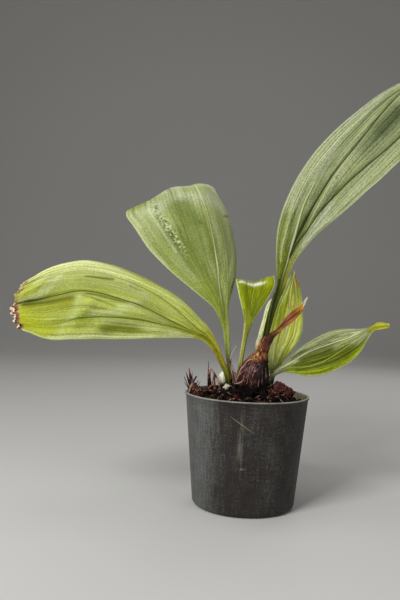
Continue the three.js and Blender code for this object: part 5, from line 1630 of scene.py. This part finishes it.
ROOTS = [
    [[-17, -6, 99, 2], [-24, -14, 84, 1.8], [-30, -16, 64, 1.6], [-29, -24, 44, 1.4]],
    [[-8, 0, 98, 2], [-8, 8, 82, 1.8], [-14, 18, 62, 1.6], [-10, 26, 40, 1.4]],
    [[6, -2, 97, 2.2], [8, -14, 80, 2], [4, -24, 60, 1.8], [10, -28, 36, 1.5]],
    [[22, 12, 99, 2], [30, 18, 84, 1.8], [32, 14, 64, 1.6], [36, 12, 44, 1.4]],
]
MAIN_BULB = [[1, -4, 104, 8.5], [2.6, -4, 112, 12.8], [4.6, -4, 121, 14.5], [6.4, -4, 130, 14],
             [8.8, -4, 137.5, 11.2], [11.5, -4, 144.5, 7.6], [12.9, -4, 151, 5.9], [14.6, -4, 158, 5.2],
             [17.4, -4.5, 163.5, 3.4]]
# Pale fibres that stand off the bulb: tone and stations
LOOSE_FIBRES = [
    (1.1,
     [[-15, -17, 119.4, 0.4], [-11.6, -18.4, 119.2, 0.7], [-8, -18.6, 120.6, 0.8], [-6, -18, 122.6, 0.4]]),
    (1.1, [[-6, -14, 135, 0.3], [-3, -13.4, 139.6, 0.6], [1, -12, 142, 0.7], [4.4, -10.6, 142.6, 0.3]]),
    (1.0, [[-10, -15, 128, 0.4], [-8, -15.6, 133, 0.6], [-4, -15, 136.6, 0.6], [0, -14, 138.4, 0.3]]),
    (0.9, [[-12, -14, 122, 0.4], [-10, -15.6, 127, 0.6], [-6, -16.4, 130.6, 0.6], [-3, -16.4, 131.6, 0.3]]),
    (1.9, [[12.1, -15.4, 138, 0.15], [12.6, -16.6, 128, 0.22], [12.8, -16.2, 118.8, 0.15]]),
    (1.9, [[16, -14.2, 135, 0.15], [16.6, -14.6, 127, 0.2], [16.7, -12.4, 120, 0.15]]),
    (1.7, [[9.5, -16.8, 133, 0.15], [9.8, -18.6, 125, 0.2], [9.2, -18.8, 117, 0.15]]),
]
# The dry bract that the sheath runs out in: x, y, z of its middle, its width, and how far its middle
# stands behind its edges
BRACT = [
    [14.6, -8.8, 152, 8.5, -2.2], [16.2, -9.4, 157.6, 8.2, -2.0], [18.6, -9.8, 162.6, 7.8, -1.4],
    [21.8, -10.4, 166.8, 6.0, -0.6], [26.4, -11.4, 171.4, 4.6, 0.6], [30.3, -12.4, 175.9, 5.2, 1.0],
    [35.7, -13.4, 181.5, 7.4, 1.6], [41.2, -14.4, 187, 7.4, 1.6], [46.1, -15.4, 192.6, 5.6, 1.0],
    [49.7, -16.2, 198.2, 2.6, 0.4], [53.2, -17, 204.5, 1.0, 0.1]]
BRACT_GRID = (28, 150)
BRACT_THICKNESS = 0.8
# Small steps across and along it that give its direction
BRACT_STEPS = (0.02, 0.004)
# Half its usual width, and its length, laid flat
BRACT_FLAT = (3.5, 75)
YOUNG_BULB = [[-25, -5, 111, 2.2], [-25.4, -5, 116, 3.6], [-25.4, -5, 121, 4.4], [-24.6, -5, 126, 3.2],
              [-23.8, -5, 129, 0.8]]
REMNANT = [[-12, -9, 117, 2.4], [-13, -9, 124, 2.9], [-15.5, -8.5, 131, 1.9], [-18.6, -8, 139, 0.8],
           [-18.8, -8, 143, 0.3]]
WISP = [[-18.4, -8, 140, 0.5], [-17.2, -8, 146, 0.45], [-12.5, -8, 155, 0.3]]
# turn leans a lump to the right, cuts is how finely it is divided, and crumble and rough are how far its
# skin breaks up and how closely
STONE = {"at": (-22.4, -20, 114.6), "size": (4.4, 4, 8.6), "turn": 0.62, "seed": 5, "cuts": 6,
         "crumble": 0.9, "rough": 0.25}
CHUNK = {"at": (33.2, -9, 110.6), "size": (19, 12, 14), "turn": 0.55, "seed": 8, "cuts": 30,
         "crumble": 2.6, "rough": 0.6}
# The limits of a lump's corners as shares of its size, how often it is smoothed, what it is drawn out
# by to make up for that, and the noise that weathers it
LUMP_CORNERS = (0.85, 1.15)
SMOOTHINGS = 3
SMOOTHING_LOSS = 1.04
LUMP_NOISE = (0.6, 2.2, 5)


def rhizome_piece(material):
    """The creeping stem with its roots, and the furrowed old bulbs on it."""
    def furrows(turn, share):
        return 1 - 0.05 * (1 - np.cos(7 * turn)) + 0.015 * np.sin(31 * turn + 9 * share)

    bm = new_part()
    wrap_spine(bm, Spine(RHIZOME), sides=24, rows=30, tone=0.3)
    for stations, depth in BACK_BULBS:
        wrap_spine(bm, Spine(stations, depth, furrows), sides=84, rows=40)
    for stations in ROOTS:
        wrap_spine(bm, Spine(stations), sides=8, rows=24, tone=0.6)
    return finish_piece("rhizome_and_old_bulbs", bm, material, ["rhizome"])


def sheath_outline(turn, share):
    """The ridges of the main bulb's fibrous sheath, as shares of its radius."""
    fine = (0.016 * np.sin(23 * turn + 14 * share + 2 * np.sin(3 * turn))
            + 0.014 * np.sin(41 * turn - 11 * share)
            + 0.010 * np.sin(67 * turn + 25 * share + np.sin(9 * share)))
    return 1 + 0.035 * np.sin(11 * turn + 9 * share) + 0.02 * np.sin(7 * turn - 5 * share) + fine


def main_bulb_piece(material):
    """The bulb in its sheath, with torn fibres that lift off it and lie round its foot."""
    bm = new_part()
    bulb = Spine(MAIN_BULB, outline=sheath_outline)
    wrap_spine(bm, bulb, sides=168, rows=120)
    draws = random.Random(TORN_SEED)
    along = np.linspace(0, 1, 6)
    for _ in range(TORN_FIBRES):
        turn = draws.uniform(0, 2 * math.pi)
        low = draws.uniform(*TORN_FOOT)
        high = min(low + draws.uniform(*TORN_RUN), TORN_TOP)
        slant = draws.uniform(*TORN_SLANT)
        loose = draws.uniform(0.2, 1.0) ** 3 * TORN_LIFT
        lifts = 0.1 + loose * along ** 2.5
        if draws.random() >= LOOSE_AT_TOP:
            # Loose at its foot, and not at its top
            lifts = lifts[::-1]
        middle = bulb.points(turn + slant * along, np.linspace(low, high, len(along)), lifts)
        half_width = draws.uniform(*TORN_HALF_WIDTH)
        stations = [[*point, half_width * (1 - 0.75 * abs(2 * share - 1) ** 2)]
                    for point, share in zip(middle, along)]
        wrap_spine(bm, Spine(stations, depth=0.55), sides=5, rows=9, tone=draws.uniform(*TORN_TONE))
    for tone, stations in LOOSE_FIBRES:
        wrap_spine(bm, Spine(stations), sides=8, rows=14, tone=tone)
    return finish_piece("main_bulb_sheath", bm, material, ["main_pseudobulb"])


def bract_middle(s, t):
    """The middle surface of the bract at s from -1 to 1 across and t from 0 to 1 along."""
    line = np.array(BRACT, float)
    place = t * (len(line) - 1)
    spot = through(line, place)
    along = direction(line[:, :3], place)
    side = unit(np.stack([along[:, 2], np.zeros(len(s)), -along[:, 0]], axis=1))
    front = np.cross(side, along)
    ribs = 0.12 * np.sin(17 * s + 5 * t) + 0.08 * np.sin(29 * s - 8 * t) + 0.3 * np.sin(16 * t) * s * s
    sunk = spot[:, 4] * (1 - np.abs(s) ** 1.3)
    return spot[:, :3] + side * (s * spot[:, 3] / 2)[:, None] + front * (ribs - sunk)[:, None]


def bract_piece(material):
    """The dry bract: a thin channelled blade that runs out in a bleached point."""
    mesh, s, t, under = slab("dry_bract", *BRACT_GRID)
    ds, dt = BRACT_STEPS
    across = bract_middle(np.minimum(s + ds, 1), t) - bract_middle(np.maximum(s - ds, -1), t)
    along = bract_middle(s, np.minimum(t + dt, 1)) - bract_middle(s, np.maximum(t - dt, 0))
    half = np.where(under > 0.5, -BRACT_THICKNESS / 2, BRACT_THICKNESS / 2)
    place_slab(mesh, bract_middle(s, t) + unit(np.cross(across, along)) * half[:, None])
    keep(mesh, "chart", "FLOAT_VECTOR", np.stack([s, under, t], axis=1))
    wide, long = BRACT_FLAT
    keep(mesh, "flow", "FLOAT_VECTOR", np.stack([s * wide, under * wide, t * long], axis=1) * MM)
    return finish_mesh("dry_bract", mesh, material, ["main_pseudobulb"])


def remnant_piece(material):
    """The split remains of an old sheath, with a loose wisp at its top."""
    def folds(turn, share):
        return 1 + 0.12 * np.sin(5 * turn + 7 * share) + 0.05 * np.sin(13 * turn)

    bm = new_part()
    wrap_spine(bm, Spine(REMNANT, 0.5, folds), sides=40, rows=60)
    wrap_spine(bm, Spine(WISP), sides=8, rows=14, tone=1.8)
    return finish_piece("old_sheath", bm, material, ["sheath_remnant"])


def young_bulb_piece(material):
    def folds(turn, share):
        return 1 + 0.03 * np.sin(9 * turn + 3 * share)

    bm = new_part()
    wrap_spine(bm, Spine(YOUNG_BULB, 1, folds), sides=48, rows=40)
    return finish_piece("young_bulb", bm, material, ["young_pseudobulb"])


def lump_piece(name, lump, node, material):
    """A lump of stone or bark: a block with moved corners, cut finer and weathered."""
    bm = bmesh.new()
    bmesh.ops.create_cube(bm, size=1)
    draws = seeded(lump["seed"])
    for vert in bm.verts:
        vert.co = [value * length * between(LUMP_CORNERS, draws)
                   for value, length in zip(vert.co, lump["size"])]
    bmesh.ops.subdivide_edges(bm, edges=bm.edges, cuts=lump["cuts"], use_grid_fill=True)
    for _ in range(SMOOTHINGS):
        bmesh.ops.smooth_vert(bm, verts=bm.verts, factor=0.5, use_axis_x=True, use_axis_y=True,
                              use_axis_z=True)
    spin = Matrix.Rotation(lump["turn"], 3, "Y")
    for vert in bm.verts:
        rough = noise.fractal(vert.co * lump["rough"] + Vector((lump["seed"], 0, 0)), *LUMP_NOISE)
        weathered = vert.co * SMOOTHING_LOSS + vert.co.normalized() * rough * lump["crumble"]
        vert.co = (spin @ weathered + Vector(lump["at"])) * MM
    return finish_piece(name, bm, material, [node])


# Torn edge of leaf A: place across, reach past the edge and curl of each dry flake
FLAKES = [(-0.88, 3.0, 0.6), (-0.74, 3.4, -0.5), (-0.6, 2.6, 0.9), (-0.45, 3.6, 0.7), (-0.3, 2.8, -0.8),
          (-0.16, 3.6, 0.8), (-0.02, 3.0, -0.6), (0.12, 4.0, 1.0), (0.3, 2.4, 0.5), (0.52, 2.2, -0.6)]
# How deep in the leaf a flake starts, its half width there, and the place across and the share of the
# length by which its directions are found
FLAKE_ROOT = 1.5
FLAKE_HALF_WIDTH = 1
FLAKE_SIDE_STEP = 0.03
FLAKE_INSIDE = 0.985


def flakes_piece(material):
    """Dry flakes that curl off the torn tip of the left leaf."""
    bm = new_part()
    for across, reach, curl in FLAKES:
        s = np.array([across, across, across + FLAKE_SIDE_STEP])
        t = np.array([FLAKE_INSIDE, 1.0, 1.0])
        inner, edge, beside = leaf_middle(LEAVES["leaf_a"], "leaf_a", s, t)
        way, side = unit(np.array([edge - inner, beside - edge]))
        front = np.cross(side, way)
        stations = []
        for share in np.linspace(0, 1, 6):
            bend = curl * share * 1.6
            shortened = math.sin(bend) / bend if bend else 1
            point = (edge + way * (reach * shortened * share - FLAKE_ROOT)
                     + front * (reach * share * share * curl * 0.6)
                     + side * (0.8 * math.sin(3 * share + across * 9)))
            stations.append([*point, FLAKE_HALF_WIDTH * (1 - 0.6 * share)])
        wrap_spine(bm, Spine(stations, depth=0.3), sides=10, rows=14, tone=0.25 + 0.6 * ((across * 7) % 1))
    return finish_piece("torn_edge_flakes", bm, material)


# Stage and operators

LIT_POINT = (0, 0, 0.15)
SENSOR = 36
# The sweep in metres: where its floor starts and bends up, the bend's radius, its rise and half width
SWEEP_START = -7.0
SWEEP_BEND = 1.6
SWEEP_RADIUS = 1.2
SWEEP_RISE = 4.0
SWEEP_HALF_WIDTH = 9


def add_camera():
    lens = bpy.data.cameras.new("camera")
    lens.sensor_fit = "VERTICAL"
    lens.sensor_height = SENSOR
    lens.lens = FOCAL_PIXELS / IMAGE_SIZE[1] * SENSOR
    lens.clip_start = 0.01
    camera = add_object("camera", lens)
    roll = math.radians(CAMERA_ROLL)
    right, up, back = (math.cos(roll), 0, math.sin(roll)), (-math.sin(roll), 0, math.cos(roll)), (0, -1, 0)
    turned = Matrix((right, up, back)).transposed().to_4x4()
    camera.matrix_world = Matrix.Translation(CAMERA_AT) @ turned
    bpy.context.scene.camera = camera


def add_sweep(studio):
    """A floor that curves up behind the plant."""
    bm = bmesh.new()
    bmesh.ops.create_grid(bm, x_segments=2, y_segments=64, size=1)
    run = SWEEP_BEND - SWEEP_START
    arc = SWEEP_RADIUS * math.pi / 2
    for vert in bm.verts:
        way = (vert.co.y + 1) / 2 * (run + arc + SWEEP_RISE)
        x = vert.co.x * SWEEP_HALF_WIDTH
        turn = (way - run) / SWEEP_RADIUS
        if way < run:
            vert.co = (x, SWEEP_START + way, 0)
        elif way < run + arc:
            vert.co = (x, SWEEP_BEND + SWEEP_RADIUS * math.sin(turn), SWEEP_RADIUS * (1 - math.cos(turn)))
        else:
            vert.co = (x, SWEEP_BEND + SWEEP_RADIUS, SWEEP_RADIUS + way - run - arc)
    mesh = to_mesh("studio_sweep", bm)
    mesh.shade_smooth()
    sweep = add_object("studio_sweep", mesh)
    material, tree, shader, _ = new_material("painted_sweep", roughness=0.9, index=1.5)
    feed(tree, shader, {"Base Color": studio.floor})
    mesh.materials.append(material)


def add_light(name, power, size, place):
    lamp = bpy.data.lights.new(name, "AREA")
    lamp.energy = power
    lamp.size = size
    light = add_object(name, lamp)
    light.location = place
    light.rotation_euler = (Vector(LIT_POINT) - Vector(place)).to_track_quat("-Z", "Y").to_euler()
    light.visible_camera = False


class ORCHID_OT_stage(bpy.types.Operator):
    """Adds the camera, the pale sweep and the soft studio lights"""
    bl_idname = "orchid.stage"
    bl_label = "Stage and camera"

    def execute(self, context):
        studio = context.scene.orchid_studio
        add_camera()
        add_sweep(studio)
        # Power, size and place of each soft light, in metres
        add_light("key_light", studio.key, size=0.6, place=(-0.85, -1.1, 1.0))
        add_light("top_light", studio.top, size=0.8, place=(-0.3, 0.0, 1.5))
        add_light("fill_light", studio.fill, size=0.9, place=(1.1, -1.1, 0.7))
        add_light("back_light", studio.back, size=0.9, place=(0.5, 1.2, 1.0))
        world = bpy.data.worlds.new("studio_room")
        world.use_nodes = True
        feed(world.node_tree, world.node_tree.nodes["Background"],
             {"Color": "#f1f0ec", "Strength": studio.room})
        context.scene.world = world
        context.scene.view_settings.view_transform = "Standard"
        return {"FINISHED"}


class ORCHID_OT_pot(bpy.types.Operator):
    """Adds the nursery pot"""
    bl_idname = "orchid.pot"
    bl_label = "Nursery pot"

    def execute(self, context):
        pot = context.scene.orchid_pot
        finish_mesh("nursery_pot", pot_mesh(pot), moulded_plastic(pot), ["pot"])
        return {"FINISHED"}


class ORCHID_OT_mix(bpy.types.Operator):
    """Adds the bark mix with its chips, splinters and fibres"""
    bl_idname = "orchid.mix"
    bl_label = "Bark mix"

    def execute(self, context):
        mix = context.scene.orchid_mix
        mix_piece(mix, context.scene.orchid_pot, bark_bits(mix))
        return {"FINISHED"}


class ORCHID_OT_bulbs(bpy.types.Operator):
    """Adds the rhizome, the old, main and young bulbs and their dry sheaths"""
    bl_idname = "orchid.bulbs"
    bl_label = "Rhizome and bulbs"

    def execute(self, context):
        bulbs = context.scene.orchid_bulbs
        rhizome_piece(dry_sheath("old_bulb_skin", bulbs.shadow, bulbs.old, bulbs.straw))
        main_bulb_piece(fibrous_sheath(bulbs))
        bract_piece(rusty_bract(bulbs))
        remnant_piece(dry_sheath("papery_scale", "#2a120c", "#6e4432", "#a9a39e"))
        young_bulb_piece(plain_skin("young_bulb_skin", bulbs.young, "#b4b890", grain_size=0.004,
                                    roughness=0.4, strength=0.5, soiled=0.1175))
        return {"FINISHED"}


class ORCHID_OT_lumps(bpy.types.Operator):
    """Adds the pale stone and the lump of red bark"""
    bl_idname = "orchid.lumps"
    bl_label = "Stone and red bark"

    def execute(self, context):
        bulbs = context.scene.orchid_bulbs
        lump_piece("pale_lump", STONE, "pale_stone",
                   plain_skin("limestone", bulbs.stone, "#77735a", grain_size=0.002, roughness=0.9))
        lump_piece("red_bark_lump", CHUNK, "bark_chunk",
                   plain_skin("split_red_bark", bulbs.chunk, "#8c4a3c", grain_size=0.0025, roughness=0.9))
        return {"FINISHED"}


class ORCHID_OT_leaves(bpy.types.Operator):
    """Adds the six leaves with their stalks"""
    bl_idname = "orchid.leaves"
    bl_label = "Leaves"

    def execute(self, context):
        sizes = context.scene.orchid_leaves
        for name, leaf in LEAVES.items():
            grid = BLADE_GRID if name in LARGE_LEAVES else SMALL_BLADE_GRID
            finish_mesh(f"{name}_blade", blade_mesh(name, leaf, grid, sizes),
                        leaf_tissue(name, sizes), [name])
        flakes_piece(dry_sheath("dead_leaf_edge", "#4a221a", sizes.dry, sizes.bleached))
        return {"FINISHED"}


class ORCHID_PT_panel(bpy.types.Panel):
    """Lists the plant's sizes and the steps that build it"""
    bl_idname = "ORCHID_PT_panel"
    bl_label = "Potted Stanhopea"
    bl_space_type = "VIEW_3D"
    bl_region_type = "UI"
    bl_category = "Orchid"

    def draw(self, context):
        for group, kind in GROUPS.items():
            box = self.layout.box()
            for key in kind.__annotations__:
                box.prop(getattr(context.scene, group), key)
        for step in STEPS:
            self.layout.operator(step.bl_idname)


GROUPS = {"orchid_pot": PotSettings, "orchid_mix": MixSettings, "orchid_bulbs": BulbSettings,
          "orchid_leaves": LeafSettings, "orchid_studio": StudioSettings}
STEPS = (ORCHID_OT_stage, ORCHID_OT_pot, ORCHID_OT_mix, ORCHID_OT_bulbs, ORCHID_OT_lumps, ORCHID_OT_leaves)


def register():
    for kind in (*GROUPS.values(), *STEPS, ORCHID_PT_panel):
        bpy.utils.register_class(kind)
    for key, kind in GROUPS.items():
        setattr(bpy.types.Scene, key, PointerProperty(type=kind))


def unregister():
    for key in GROUPS:
        delattr(bpy.types.Scene, key)
    for kind in reversed((*GROUPS.values(), *STEPS, ORCHID_PT_panel)):
        bpy.utils.unregister_class(kind)


def main():
    register()
    for step in STEPS:
        family, _, name = step.bl_idname.partition(".")
        getattr(getattr(bpy.ops, family), name)()


if __name__ == "__main__":
    main()
